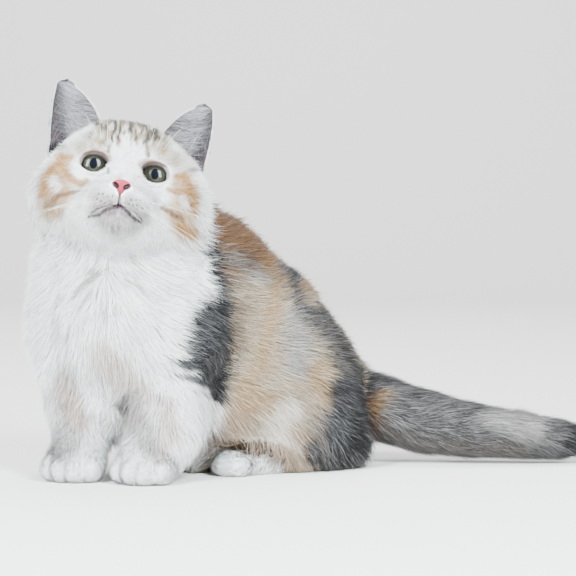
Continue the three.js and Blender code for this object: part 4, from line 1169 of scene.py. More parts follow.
def blades(spine, normal, width, colour, uv, rng, twist=0.45, soft=0.8):
    """Flat tapering blades along spines: two points at each station but the last, the tip. The blade
    turns a little about its length. Its normals lean outwards at its edges, as a round hair's do, and
    partly follow the skin, so that a coat of them shades softly."""
    count, steps, _ = spine.shape
    way = unit(np.diff(spine, axis=1))
    way = np.concatenate([way, way[:, -1:]], axis=1)
    across = unit(np.cross(way, normal))
    over = np.cross(across, way)
    turn = rng.uniform(-twist, twist, count)[:, None, None]
    wide = across * np.cos(turn) + over * np.sin(turn)
    taper = np.array((0.8, 1.0, 0.75, 0.4))[: steps - 1]
    half = width[:, None, None] * taper[None, :, None] / 2
    left = spine[:, :-1] - wide[:, :-1] * half
    right = spine[:, :-1] + wide[:, :-1] * half
    pairs = np.stack([left, right], axis=2).reshape(count, -1, 3)
    points = np.concatenate([pairs, spine[:, -1:]], axis=1)
    shade = unit(over * (1 - soft) + normal * soft)
    sides = [unit(shade[:, :-1] + wide[:, :-1] * lean) for lean in (-0.25, 0.25)]
    shades = np.stack(sides, axis=2).reshape(count, -1, 3)
    shades = np.concatenate([shades, shade[:, -1:]], axis=1)
    paint = np.repeat(colour[:, :-1], 2, axis=1)
    paint = np.concatenate([paint, colour[:, -1:]], axis=1)
    size = 2 * (steps - 1) + 1
    triangles = []
    for k in range(steps - 2):
        a = 2 * k
        triangles += [(a, a + 1, a + 3), (a, a + 3, a + 2)]
    triangles.append((size - 3, size - 2, size - 1))
    faces = (np.arange(count)[:, None, None] * size + np.array(triangles)).reshape(-1, 3)
    t = np.linspace(0, 1, steps)
    local = [(s, t[k]) for k in range(steps - 1) for s in (0, 1)] + [(0.5, 1)]
    patch = uv[:, None, :] + np.array(local)[None] * HAIR_PATCH
    flat = (count * size, -1)
    return SimpleNamespace(
        points=points.reshape(flat),
        normals=shades.reshape(flat),
        colours=paint.reshape(flat),
        uvs=patch.reshape(flat),
        faces=faces,
    )


def unwrapped(p, middle):
    """The skin round a middle laid out flat: directions folded from an octahedron into a square."""
    d = p - middle
    d = d / np.abs(d).sum(axis=1, keepdims=True)
    x, y = d[:, 0], d[:, 1]
    fold_x = (1 - np.abs(y)) * np.where(x >= 0, 1, -1)
    fold_y = (1 - np.abs(x)) * np.where(y >= 0, 1, -1)
    under = d[:, 2] < 0
    u = np.where(under, fold_x, x)
    v = np.where(under, fold_y, y)
    return stacked(u, v) * 0.485 + 0.5


def hair_colours(base, tick, fleck, steps, number, rng):
    """Colours along each hair: a root darkened as painted shade, a plain middle, pale hairs among the rest,
    and a dark tip on ticked hairs."""
    count = len(base)
    vary = mix(0.6, 1.08, rng.random(count) ** 0.6) * mix(0.84, 1.08, number)
    plain = base * vary[:, None]
    pale = (rng.random(count) < fleck) * rng.uniform(0.15, 0.9, count)
    plain = mix(plain, TONES["fleck"] * 0.65 + np.minimum(plain * 1.3, 0.5), pale[:, None])
    plain = np.clip(plain, 0, 0.95)
    ticked = (rng.random(count) < 0.7) * tick * rng.uniform(0.4, 1.0, count) * (1 - 0.8 * pale)
    colours = []
    for t in np.linspace(0, 1, steps):
        # Painted shade: each hair darker towards its root.
        shade = plain * mix(0.7, 1.05, t)
        dark = ticked * ease(0.3, 0.95, np.array(t))
        colours.append(mix(shade, TONES["dark"], dark[:, None]))
    return np.clip(np.stack(colours, axis=1), 0, 0.95)


# Blender meshes


def linked(name, data):
    """A new object that holds some data, in the scene."""
    made = bpy.data.objects.new(name, data)
    bpy.context.scene.collection.objects.link(made)
    return made


def fill(owner, key, values, kind=np.float32):
    """Put a whole array into a mesh."""
    owner.foreach_set(key, values.astype(kind).ravel())


def make_mesh(name, points, faces, normals=None, colours=None, uvs=None):
    """A mesh object at the origin from whole arrays, in the frame of the solids."""
    mesh = bpy.data.meshes.new(name)
    flat = faces.ravel()
    sides = faces.shape[1]
    mesh.vertices.add(len(points))
    fill(mesh.vertices, "co", metres(points))
    mesh.loops.add(flat.size)
    fill(mesh.loops, "vertex_index", flat, np.int32)
    mesh.polygons.add(len(faces))
    fill(mesh.polygons, "loop_start", np.arange(0, flat.size, sides), np.int32)
    mesh.update(calc_edges=True)
    fill(mesh.polygons, "use_smooth", np.ones(len(faces)), bool)
    if colours is not None:
        layer = mesh.color_attributes.new("coat", "FLOAT_COLOR", "POINT")
        whole = np.concatenate([colours, np.ones((len(colours), 1))], axis=1)
        fill(layer.data, "color", whole)
    if uvs is not None:
        layer = mesh.uv_layers.new(name="OFBake")
        fill(layer.data, "uv", uvs[flat])
    if normals is not None:
        mesh.normals_split_custom_set_from_vertices(normals.astype(np.float32))
    return linked(name, mesh)


def dress(made, material, replaced=()):
    """Give a piece its material and its body, and hide the nodes that it stands for."""
    made.data.materials.append(material)
    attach(made, "root")
    if replaced:
        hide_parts(*replaced)


def grid_faces(rows, columns, closed):
    """Quads between the points of a grid of rows, wound counter-clockwise, closed round each row or not."""
    r, c = np.meshgrid(np.arange(rows - 1), np.arange(columns if closed else columns - 1), indexing="ij")
    after = (c + 1) % columns
    ring = stacked(r * columns + c, r * columns + after, (r + 1) * columns + after, (r + 1) * columns + c)
    return ring.reshape(-1, 4)


def rings_round(path, across, over, radii, sides):
    """A ring of points round each point of a path: p + r (a cos t + o sin t)."""
    turn = turns(sides)[None, :, None]
    ring = across[:, None] * np.cos(turn) + over[:, None] * np.sin(turn)
    return (path[:, None] + ring * radii[:, None, None]).reshape(-1, 3)


def tube(path, radii, sides):
    """Rings along a path, each square to it, open at both ends."""
    way = unit(np.gradient(path, axis=0))
    aside = unit(np.cross(way, (0.3, 0.1, 0.95)))
    points = rings_round(path, aside, np.cross(aside, way), radii, sides)
    return points, grid_faces(len(path), sides, True)


def gathered(parts):
    """Several meshes as one: their points, and their faces numbered on."""
    starts = np.cumsum([0] + [len(points) for points, _ in parts[:-1]])
    faces = [faces + start for (_, faces), start in zip(parts, starts)]
    return np.concatenate([points for points, _ in parts]), np.concatenate(faces)


# Shader maths


class Value:
    """One number socket of a material; Python's operators add Math nodes."""

    def __init__(self, shader, socket):
        self.shader = shader
        self.socket = socket

    def _math(self, operation, *others):
        values = dict(enumerate((self, *others)))
        return self.shader.node("ShaderNodeMath", {"operation": operation}, values)[0]

    def __rsub__(self, other):
        return self.shader.number(other)._math("SUBTRACT", self)

    __add__ = __radd__ = partialmethod(_math, "ADD")
    __mul__ = __rmul__ = partialmethod(_math, "MULTIPLY")
    __sub__ = partialmethod(_math, "SUBTRACT")
    __truediv__ = partialmethod(_math, "DIVIDE")
    __pow__ = partialmethod(_math, "POWER")

    def between(self, low, high):
        """Smoothly 0 at low and 1 at high. High may be the smaller."""
        if low > high:
            return 1 - self.between(high, low)
        settings = {"interpolation_type": "SMOOTHSTEP"}
        inputs = {"Value": self, "From Min": low, "From Max": high}
        return self.shader.node("ShaderNodeMapRange", settings, inputs)[0]


class Shader:
    """A material being built; `node` adds any node by its type, settings and inputs."""

    def __init__(self, name):
        self.material = bpy.data.materials.new(name)
        self.material.use_nodes = True
        self.tree = self.material.node_tree
        self.tree.nodes.clear()

    def node(self, kind, settings=None, inputs=None):
        """Add a node, set its settings first, then its inputs; its outputs come back by name or number."""
        made = self.tree.nodes.new(kind)
        for name, value in (settings or {}).items():
            setattr(made, name, value)
        for key, value in (inputs or {}).items():
            socket = made.inputs[key]
            value = getattr(value, "socket", value)
            if isinstance(value, bpy.types.NodeSocket):
                self.tree.links.new(value, socket)
            else:
                socket.default_value = value
        values = [Value(self, output) for output in made.outputs]
        return {**dict(enumerate(values)), **{value.socket.name: value for value in values}}

    def number(self, value):
        """A plain number as a value."""
        return self.node("ShaderNodeMath", {"operation": "ADD"}, {0: value, 1: 0.0})[0]

    def position(self):
        """Places on the object, which stands at the origin, in metres."""
        return self.node("ShaderNodeTexCoord")["Object"]

    def noise(self, vector, scale, detail=2.0, rough=0.5):
        """Smooth noise from 0 to 1."""
        inputs = {"Vector": vector, "Scale": scale, "Detail": detail, "Roughness": rough}
        return self.node("ShaderNodeTexNoise", {"noise_dimensions": "3D"}, inputs)["Fac"]

    def mix(self, share, a, b, kind="MIX"):
        """Colour a at share 0 and b at share 1, or their product where the kind is MULTIPLY."""
        a, b = (k if isinstance(k, Value) else (*k[:3], 1) for k in (a, b))
        settings = {"data_type": "RGBA", "blend_type": kind}
        return self.node("ShaderNodeMix", settings, {0: share, 6: a, 7: b})[2]

    def marked(self, grain, low, high, dim):
        """The markings from the piece's own attribute, dimmed where the grain is low."""
        coat = self.node("ShaderNodeAttribute", {"attribute_name": "coat"})["Color"]
        deeper = self.mix(1.0, coat, dim, "MULTIPLY")
        return self.mix(grain.between(low, high), deeper, coat)

    def bump(self, height, strength, distance):
        """Normals that follow a height, whose full distance is in metres."""
        inputs = {"Height": height, "Strength": strength, "Distance": distance}
        return self.node("ShaderNodeBump", {}, inputs)["Normal"]

    def finish(self, **inputs):
        """Close the material with a Principled shader; keys are socket names with _ for a space."""
        named = {key.replace("_", " "): value for key, value in inputs.items()}
        surface = self.node("ShaderNodeBsdfPrincipled", {}, named)["BSDF"]
        self.node("ShaderNodeOutputMaterial", {}, {"Surface": surface})
        return self.material


def fur_material(name, rough, scale):
    """Hair: the markings from the piece's own attribute, broken up by fine noise."""
    s = Shader(name)
    grain = s.noise(s.position(), scale, 3)
    return s.finish(
        Base_Color=s.marked(grain, 0.3, 0.7, (0.94, 0.93, 0.92)),
        Roughness=grain * 0.12 + (rough - 0.06),
        Specular_IOR_Level=0.2,
        Sheen_Weight=0.06,
        Sheen_Roughness=0.5,
    )


def skin_material():
    """Skin seen between the hairs: the same markings, darker as painted shade under the coat, with a fine
    nap.
    """
    s = Shader("under_coat")
    nap = s.noise(s.position(), 900, 2)
    colour = s.marked(nap, 0.35, 0.65, (0.86, 0.83, 0.82))
    normal = s.bump(nap, 0.4, 0.0006)
    return s.finish(Base_Color=colour, Roughness=nap * 0.1 + 0.7, Normal=normal, Specular_IOR_Level=0.3)


def eye_material(name, side, colours):
    """An eye: an upright oval pupil, an iris with fine radial threads that darkens to its rim, and a
    dark ring beyond it, all measured from the line of sight. A painted shadow of the upper lid darkens
    the top of the iris."""
    s = Shader(name)
    place = gaze_place(side)
    origin = tuple(metres(place.origin))
    away = s.node("ShaderNodeVectorMath", {"operation": "SUBTRACT"}, {0: s.position(), 1: origin})[0]

    def along(axis):
        inputs = {0: away, 1: tuple(axis * 1000)}
        return s.node("ShaderNodeVectorMath", {"operation": "DOT_PRODUCT"}, inputs)["Value"]

    u = along(place.axes[1])
    v = along(place.axes[2])
    radius = (u * u + v * v) ** 0.5
    pupil = ((u / PUPIL[0]) * (u / PUPIL[0]) + (v / PUPIL[1]) * (v / PUPIL[1])) ** 0.5
    turn = v._math("ARCTAN2", u)
    spokes = s.node("ShaderNodeCombineXYZ", {}, {0: turn * 5.0, 1: radius * 0.35, 2: 0.0})[0]
    threads = s.noise(spokes, 2.2, 4, 0.7)
    dark, mid, light, rim = colours
    iris = s.mix(threads.between(0.3, 0.72), dark, mid)
    iris = s.mix(radius.between(*IRIS_GLOW), iris, light)
    # Painted shadow of the upper lid: the iris darkens towards its top.
    iris = s.mix(v.between(0.5, 5.5) * 0.6, iris, dark)
    iris = s.mix(radius.between(*IRIS_RIM), iris, rim)
    iris = s.mix(pupil.between(1.1, 0.93), iris, PUPIL_COLOUR)
    return s.finish(
        Base_Color=iris,
        Roughness=0.5,
        Specular_IOR_Level=0.0,
        Coat_Weight=1.0,
        Coat_Roughness=0.13,
        Coat_IOR=1.3,
    )


def nose_material(colour, deep):
    """Nose leather: fine pebbles, deeper pink in the folds, and painted shadow, nearly black, inside the
    nostrils.
    """
    s = Shader("nose_leather")
    shade = s.node("ShaderNodeAttribute", {"attribute_name": "coat"})["Color"]
    pebbles = s.node("ShaderNodeTexVoronoi", {}, {"Vector": s.position(), "Scale": 2600.0})["Distance"]
    tint = s.mix(pebbles.between(0.1, 0.6), colour, deep)
    tint = s.mix(1.0, tint, shade, "MULTIPLY")
    normal = s.bump(pebbles, 0.25, 0.0002)
    return s.finish(Base_Color=tint, Roughness=pebbles * 0.1 + 0.45, Normal=normal, Specular_IOR_Level=0.12)


def plain_material(name, colour, other, rough, scale):
    """A soft two-tone finish broken up by noise."""
    s = Shader(name)
    grain = s.noise(s.position(), scale, 3)
    tint = s.mix(grain.between(0.35, 0.65), colour, other)
    return s.finish(Base_Color=tint, Roughness=grain * 0.1 + rough)


def ear_material():
    """The skin of the ear: the tones of the piece's own attribute, with painted shade deep in the cup, and
    faint veins.
    """
    s = Shader("ear_skin")
    veins = s.noise(s.position(), 160, 3)
    colour = s.marked(veins, 0.42, 0.6, (0.86, 0.78, 0.8))
    normal = s.bump(veins, 0.2, 0.0005)
    return s.finish(Base_Color=colour, Roughness=veins * 0.1 + 0.55, Normal=normal)


# Pieces


# What one operator leaves for the next
STORE = SimpleNamespace()


# The grid of the skin: its box, the part of it at the face that is fine, and its coarse and fine steps
BODY_BOX = ((-182, 224), (-42, 178), (-6, 240))
FACE_BOX = ((-133, -69), (-38, -6), (155, 207))
COARSE = 3.6
FINE = 0.8
# The grid that the coat reads the skin from: its corners and its step
COAT_BOX = ((-192, -52, -8), (232, 200, 250))
COAT_STEP = 3.0


def build_skin():
    """The whole skin as one closed surface, fine at the face and coarser elsewhere."""
    ticks = [spaced(*whole, COARSE, FINE, fine) for whole, fine in zip(BODY_BOX, FACE_BOX)]
    points, faces = net(lambda p: np.maximum(carved_field(p), 0.4 - p[..., 2]), ticks)
    STORE.volume = Volume(skin_field, *COAT_BOX, COAT_STEP)
    normals = unit(STORE.volume.slope(points))
    colour = markings(points, normals, shares_at(points))[0]
    # Painted shade: the skin under the coat is a little darker than the hair.
    made = make_mesh("skin", points, faces, colours=colour * 0.95)
    dress(made, skin_material(), FLESH)
    STORE.skin_points = points
    STORE.skin_faces = faces


def scatter(points, faces, density, rng):
    """Roots spread over quads by area times density, at even odds within each triangle."""
    triangles = np.concatenate([faces[:, [0, 1, 2]], faces[:, [0, 2, 3]]])
    a, b, c = (points[triangles[:, k]] for k in range(3))
    area = np.linalg.norm(np.cross(b - a, c - a), axis=-1) / 2
    wanted = area * density[triangles].mean(axis=1)
    number = np.floor(wanted + rng.random(len(wanted))).astype(int)
    chosen = np.repeat(np.arange(len(triangles)), number)
    u, v = rng.random((2, len(chosen)))
    over = u + v > 1
    u = np.where(over, 1 - u, u)
    v = np.where(over, 1 - v, v)
    return a[chosen] + (b - a)[chosen] * u[:, None] + (c - a)[chosen] * v[:, None]


# The coat's pieces: a middle inside the body, the masses that each belongs to, and its slot
REGIONS = (
    ("coat_face", (-104, 8, 190), ("head",), "white_coat"),
    ("coat_crown", (-96, 44, 204), ("head",), "white_coat"),
    ("coat_chest", (-112, 24, 112), ("trunk",), "white_coat"),
    ("coat_shoulders", (-62, 66, 138), ("trunk",), "cream_coat"),
    ("coat_flank", (-16, 62, 66), ("trunk",), "cream_coat"),
    ("coat_far_side", (-84, 104, 66), ("trunk",), "cream_coat"),
    ("coat_rump", (4, 122, 66), ("trunk",), "grey_coat"),
    ("coat_foreleg_left", (-84, 22, 28), ("foreleg", "forepaw"), "white_coat"),
    ("coat_foreleg_right", (-128, 30, 28), ("foreleg", "forepaw"), "white_coat"),
    ("coat_hind_feet", (-46, 84, 8), ("hindpaw",), "white_coat"),
    ("coat_tail", (110, 112, 24), ("tail",), "grey_coat"),
)
# How far along itself a hair has its points
STATIONS = (0, 0.5, 1)
MOST_TRIANGLES = 200000


def build_coat():
    """Hair over the whole skin, in pieces by part of the body."""
    rng = np.random.default_rng(11)
    points, faces = STORE.skin_points, STORE.skin_faces
    dense = coat_at(points, shares_at(points)).dense * STORE.density
    roots = scatter(points, faces, dense, rng)
    roots = roots[clear_of_features(roots)]
    share = shares_at(roots)
    kind = np.argmax(np.stack([share[name] for name in MASSES]), axis=0)
    names = list(MASSES)
    owner = np.full(len(roots), -1)
    nearest = np.full(len(roots), 1e9)
    for index, (_, middle, kinds, _) in enumerate(REGIONS):
        fits = np.isin(kind, [names.index(k) for k in kinds])
        far = np.where(fits, far_from(roots, middle), 1e9)
        owner = np.where(far < nearest, index, owner)
        nearest = np.minimum(nearest, far)
    material = fur_material("long_hair", 0.62, 420)
    for index, (name, middle, _, slot) in enumerate(REGIONS):
        build_region(name, middle, roots[owner == index], material, rng)


def build_region(name, middle, roots, material, rng):
    """One piece of the coat. Its markings are read where a hair is seen, from the middle to the tip."""
    share = shares_at(roots)
    coat = coat_at(roots, share)
    normals = unit(STORE.volume.slope(roots))
    spine, normal, number = grow(STORE.volume, roots, normals, coat, STATIONS, rng)
    spine[..., 2] = np.maximum(spine[..., 2], 0.25)
    seen = mix(spine[:, 1], spine[:, 2], rng.uniform(-0.2, 0.6, (len(roots), 1)))
    seen_share = shares_at(seen)
    seen_share["hindpaw"] = np.minimum(seen_share["hindpaw"], share["hindpaw"])
    base, tick, fleck = markings(seen, normal[:, 1], seen_share)
    colours = hair_colours(base, tick, fleck, len(STATIONS), number, rng)
    uv = unwrapped(roots, middle)
    hair = blades(spine, normal, coat.wide, colours, uv, rng)
    made = make_mesh(name, hair.points, hair.faces, hair.normals, hair.colours, hair.uvs)
    if len(hair.faces) >= MOST_TRIANGLES:
        raise RuntimeError(f"{name} has {len(hair.faces)} triangles")
    dress(made, material)


def clear_of_features(p):
    """True where hair may grow: not in the eyes, on the nose or in the line of the mouth."""
    q = p.astype(np.float32)
    clear = NOSE(q) > 0.5
    for place in OPENINGS:
        clear &= opening_field(place)(p) > 1.0
    clear &= mouth_distance(HEAD.into(p)) > 0.7
    return clear & (p[:, 2] > 0.6)


def gaze_place(side):
    """The frame of an eye's line of sight."""
    return looking(side, unit((GAZE[0], side * GAZE[1], GAZE[2])), 0)


# Rings and columns of an eye, of the nose and of a whisker's root
EYE_GRID = (48, 64)
NOSE_GRID = (72, 96)
DOT_GRID = (8, 10)


def ball_ways(rings, columns):
    """Directions over a ball, (cos a, sin a cos t, sin a sin t), with the angle a from ahead by rings and
    the turn t by columns, and its two poles. The angles come with them."""
    angle = np.linspace(0, np.pi, rings)[1:-1]
    a, t = (k.ravel() for k in np.meshgrid(angle, turns(columns), indexing="ij"))
    way = stacked(np.cos(a), np.sin(a) * np.cos(t), np.sin(a) * np.sin(t))
    return np.concatenate([way, ((1, 0, 0), (-1, 0, 0))]), np.append(a, (0, np.pi))


def ball_points(place, radius_at, rings, columns):
    """Points of a closed ball about a frame, with a radius that depends on the angle from ahead."""
    way, angle = ball_ways(rings, columns)
    return place.out(way * radius_at(angle)[:, None])


def ball_faces(rings, columns):
    """Triangles of a closed ball, counting its poles among the rings."""
    rows = rings - 2
    quads = grid_faces(rows, columns, True)
    first = rows * columns
    c = np.arange(columns)
    after = (c + 1) % columns
    last = (rows - 1) * columns
    front = stacked(np.full(columns, first), after, c)[:, [0, 2, 1]]
    back = stacked(np.full(columns, first + 1), last + after, last + c)
    triangles = np.concatenate([quads[:, [0, 1, 2]], quads[:, [0, 2, 3]]])
    return np.concatenate([triangles[:, ::-1], front, back])


def build_eye(side):
    """An eyeball with the low dome of its cornea towards the line of sight. Its normals are those of a
    round cornea over the pupil."""
    place = gaze_place(side)

    def radius(a):
        return EYE_RADIUS - 0.15 + 0.55 * ease(0.75, 0.25, a)

    points = ball_points(place, radius, *EYE_GRID)
    pole = place.out((EYE_RADIUS, 0, 0))
    raised = math.radians(CORNEA_TILT)
    ahead = unit(CAMERA - pole) * math.cos(raised) + np.array((0, 0, 1)) * math.sin(raised)
    dome = unit(points - (pole - ahead * CORNEA))
    front = ease(0.0, 0.35, dots(unit(points - place.origin), place.axes[0]))
    normals = unit(mix(unit(points - place.origin), dome, front[:, None]))
    name = SIDES[side]
    made = make_mesh("eye_glass_" + name, points, ball_faces(*EYE_GRID), normals)
    dress(made, eye_material("eye_" + name, side, STORE.eye), ["eye_" + name])


RIM_ROWS = 96
RIM_SIDES = 8


def build_lid_rim(side):
    """The dark edge of the lids: a bar round the almond opening, resting on the eyeball."""
    place = OPENINGS[0] if side > 0 else OPENINGS[1]
    turn = turns(RIM_ROWS)
    tall = np.where(np.sin(turn) > 0, OPENING.above, OPENING.below)
    inner = ease(0.86, 1.0, -np.cos(turn) * side)
    x = (OPENING.wide - 0.15 + 1.9 * inner) * np.cos(turn)
    y = (tall - 0.15) * np.sin(turn)
    reach = EYE_RADIUS + 0.45
    depth = np.sqrt(np.maximum(reach**2 - x**2 - y**2, 4))
    path = place.out(stacked(depth, x, y))
    outward = unit(stacked(depth * 0, x, y)) @ place.axes
    ahead = unit(path - place.origin)
    radius = 0.6 + 0.3 * np.maximum(np.sin(turn), 0) ** 0.5 + 0.4 * inner
    points = rings_round(path, outward, ahead, radius, RIM_SIDES)
    faces = grid_faces(RIM_ROWS + 1, RIM_SIDES, True) % (RIM_ROWS * RIM_SIDES)
    made = make_mesh("lid_rim_" + SIDES[side], points, faces)
    face_outwards(made)
    dress(made, STORE.rim_material)


def face_outwards(made):
    """Turn the faces of a piece outwards."""
    shell = bmesh.new()
    shell.from_mesh(made.data)
    bmesh.ops.recalc_face_normals(shell, faces=shell.faces)
    shell.to_mesh(made.data)
    shell.free()


NOSE_MIDDLE = (17, 0, -19.4)
# How the shade of the leather is lifted along its top, and the shade inside the nostrils
NOSE_TOP_SHADE = (1.25, 1.7, 1.55)
NOSTRIL_SHADE = (0.05, 0.02, 0.04)


def build_nose():
    """The nose leather: rays from its middle, each followed outwards in steps to the field's surface and
    then halved to it, with the nostrils sunk in. Its colour is paler on top, and painted shadow makes it
    nearly black inside them."""
    place = Place(HEAD.out(NOSE_MIDDLE), *HEAD.axes)

    def field(p):
        return np.maximum(NOSE(p.astype(np.float32)), -nostril_field(p))

    way = ball_ways(*NOSE_GRID)[0] @ place.axes
    reach = np.linspace(0, 9, 91)[1:]
    path = place.origin + way[:, None] * reach[None, :, None]
    outside = field(path) > 0
    first = reach[np.argmax(outside, axis=1)]
    low, high = first - 0.1, first
    for _ in range(8):
        middle = (low + high) / 2
        out = field(place.origin + way * middle[:, None]) > 0
        high = np.where(out, middle, high)
        low = np.where(out, low, middle)
    points = place.origin + way * ((low + high) / 2)[:, None]
    inside = ease(0.7, 0.1, nostril_field(points))
    low = ease(-16.5, -20.5, HEAD.into(points)[:, 2])
    shade = mix(np.array(NOSE_TOP_SHADE), np.ones(3), low[:, None])
    shade = mix(shade, np.array(NOSTRIL_SHADE), inside[:, None])
    made = make_mesh("nose_pad", points, ball_faces(*NOSE_GRID), colours=shade)
    dress(made, nose_material(*STORE.nose), ["nose"])


# The edges of the left ear as curves in the head's frame; how far the right ear leans outwards; the
# height of the rounded tip, the depth of the cup, the thickness, and how deep an ear runs into the head
EAR_OUTER = ((-34, 48, 8), (-31, 54, 50), (-34, 50, 66.5))
EAR_INNER = ((-26, 15, 35), (-25, 26.5, 58.5), (-34, 37.5, 67.5))
EAR_LEAN = 2.4
EAR_CAP = 5
EAR_CUP = 13
EAR_THICK = 1.9
EAR_ROOT = 9
EAR_EDGE_TONE = tone(78, 58, 61)
# Painted shade deep in the hollow of the ear's cup
EAR_HOLLOW_SHADE_TONE = tone(46, 34, 37)
EAR_BACK_TONE = tone(86, 76, 68)


def bezier(corners, t):
    """A quadratic Bézier curve through its first and last corner."""
    a, b, c = (np.array(k, float) for k in corners)
    t = np.asarray(t)[..., None]
    return mix(mix(a, b, t), mix(b, c, t), t)


def ear_point(side, s, t):
    """The front of an ear at s across, from its inner edge to its outer, and t up. Between the two
    edges it is hollowed by a half sine, and beyond t = 1 it draws in round the tip."""
    turn = np.maximum(t - 1, 0) * np.pi / 2
    narrow = mix(0.5, s, np.cos(turn))
    low = np.minimum(t, 1)
    across = mix(bezier(EAR_INNER, low), bezier(EAR_OUTER, low), narrow[..., None])
    hollow = EAR_CUP * np.sin(np.pi * s) * (1.05 - low) ** 0.7 * np.cos(turn)
    lean = EAR_LEAN * low * low if side < 0 else 0
    x, aside, up = np.moveaxis(across, -1, 0)
    return stacked(x - hollow, side * (aside + lean), up + EAR_CAP * np.sin(turn))


def ear_sheet(side, s, t):
    """Places and normals on the front of an ear, in the cat's millimetres."""
    step = 0.01
    p = ear_point(side, s, t)
    du = ear_point(side, s + step, t) - ear_point(side, s - step, t)
    dv = ear_point(side, s, t + step) - ear_point(side, s, t - step)
    normal = unit(np.cross(du, dv) * side)
    normal = normal * np.where(normal[..., :1] < 0, -1, 1)
    return HEAD.out(p), HEAD.way(normal)


def build_ear(side):
    """An ear: a front and a back sheet joined round the rim, run down into the head."""
    columns, rows = 33, 30
    s = np.linspace(0, 1, columns)
    cap = 1 + np.sin(np.linspace(0, np.pi / 2, 9)[1:-1]) * 0.98
    t = np.concatenate([[0], np.linspace(0, 1, rows - 8), cap])
    grid_s, grid_t = np.meshgrid(s, t)
    front = ear_point(side, grid_s, grid_t)
    rim = np.sqrt(np.maximum(1 - (2 * grid_s - 1) ** 6, 0.04)) * EAR_THICK
    back = front - stacked(rim, rim * 0, rim * 0)
    front[0, :, 2] -= EAR_ROOT
    back[0, :, 2] -= EAR_ROOT

    def both_sheets(in_front, behind):
        return np.concatenate([in_front, behind], axis=1).reshape(-1, 1)

    loop = np.concatenate([front, back[:, ::-1]], axis=1)
    around = loop.shape[1]
    points = HEAD.out(loop.reshape(-1, 3))
    faces = grid_faces(len(t), around, True)
    last = (len(t) - 1) * around
    i = np.arange(columns - 1)
    top = stacked(last + i, last + i + 1, last + around - 2 - i, last + around - 1 - i)
    foot = stacked(i + 1, i, around - 1 - i, around - 2 - i)
    faces = np.concatenate([faces, top, foot])
    depth = both_sheets(np.sin(np.pi * grid_s), grid_s * 0)
    height = both_sheets(grid_t, grid_t)
    # Painted shade: the inner skin darkens towards the deepest part of the cup and towards its foot.
    inner = mix(EAR_EDGE_TONE, EAR_HOLLOW_SHADE_TONE, np.clip(depth * 1.1 - height * 0.2, 0, 1))
    colour = mix(inner, EAR_BACK_TONE, both_sheets(grid_s * 0, grid_s * 0 + 1))
    name = SIDES[side]
    made = make_mesh("ear_shell_" + name, points, faces, colours=colour)
    face_outwards(made)
    dress(made, ear_material(), ["ear_" + name])
    build_ear_hair(side, name)


def ear_hairs(side, rng, count, s_range, t_range, ds, dt, high, wide, colour, behind=False):
    """Hairs on an ear whose course is given in the ear's own across and up: they rise first and then
    turn across, by ds u^1.5 and dt (1 - (1 - u)^1.6)."""
    s0 = rng.uniform(*s_range, count)
    t0 = rng.uniform(*t_range, count)
    steps = np.array((0, 0.34, 0.68, 1))
    swing = rng.uniform(0.15, 1.2, (count, 1))
    s = np.clip(s0[:, None] + ds * steps**1.5 * swing, -0.02, 1.02)
    rise = dt * (1 - (1 - steps) ** 1.6) * swing * rng.normal(1, 0.2, (count, 1))
    t = np.clip(t0[:, None] + rise, 0.0, 1.97)
    place, normal = ear_sheet(side, s, t)
    lift = high * rng.uniform(0.4, 1.1, (count, 1)) * (1 - (1 - steps) ** 1.6)
    if behind:
        place = place - HEAD.axes[0] * EAR_THICK
        normal = -normal
    spine = place + normal * lift[..., None]
    spine[:, 0] -= normal[:, 0] * 0.3
    vary = 1 + rng.normal(0, 0.13, (count, 1, 1))
    colours = np.clip(colour[None, None] * vary * np.ones((count, 4, 3)), 0, 0.95)
    uv = stacked(s0 * 0.45 + (0.52 if behind else 0.02), np.clip(t0 / 2, 0, 1) * 0.95 + 0.02)
    width = wide * rng.uniform(0.8, 1.2, count)
    return spine, normal, width, colours, uv


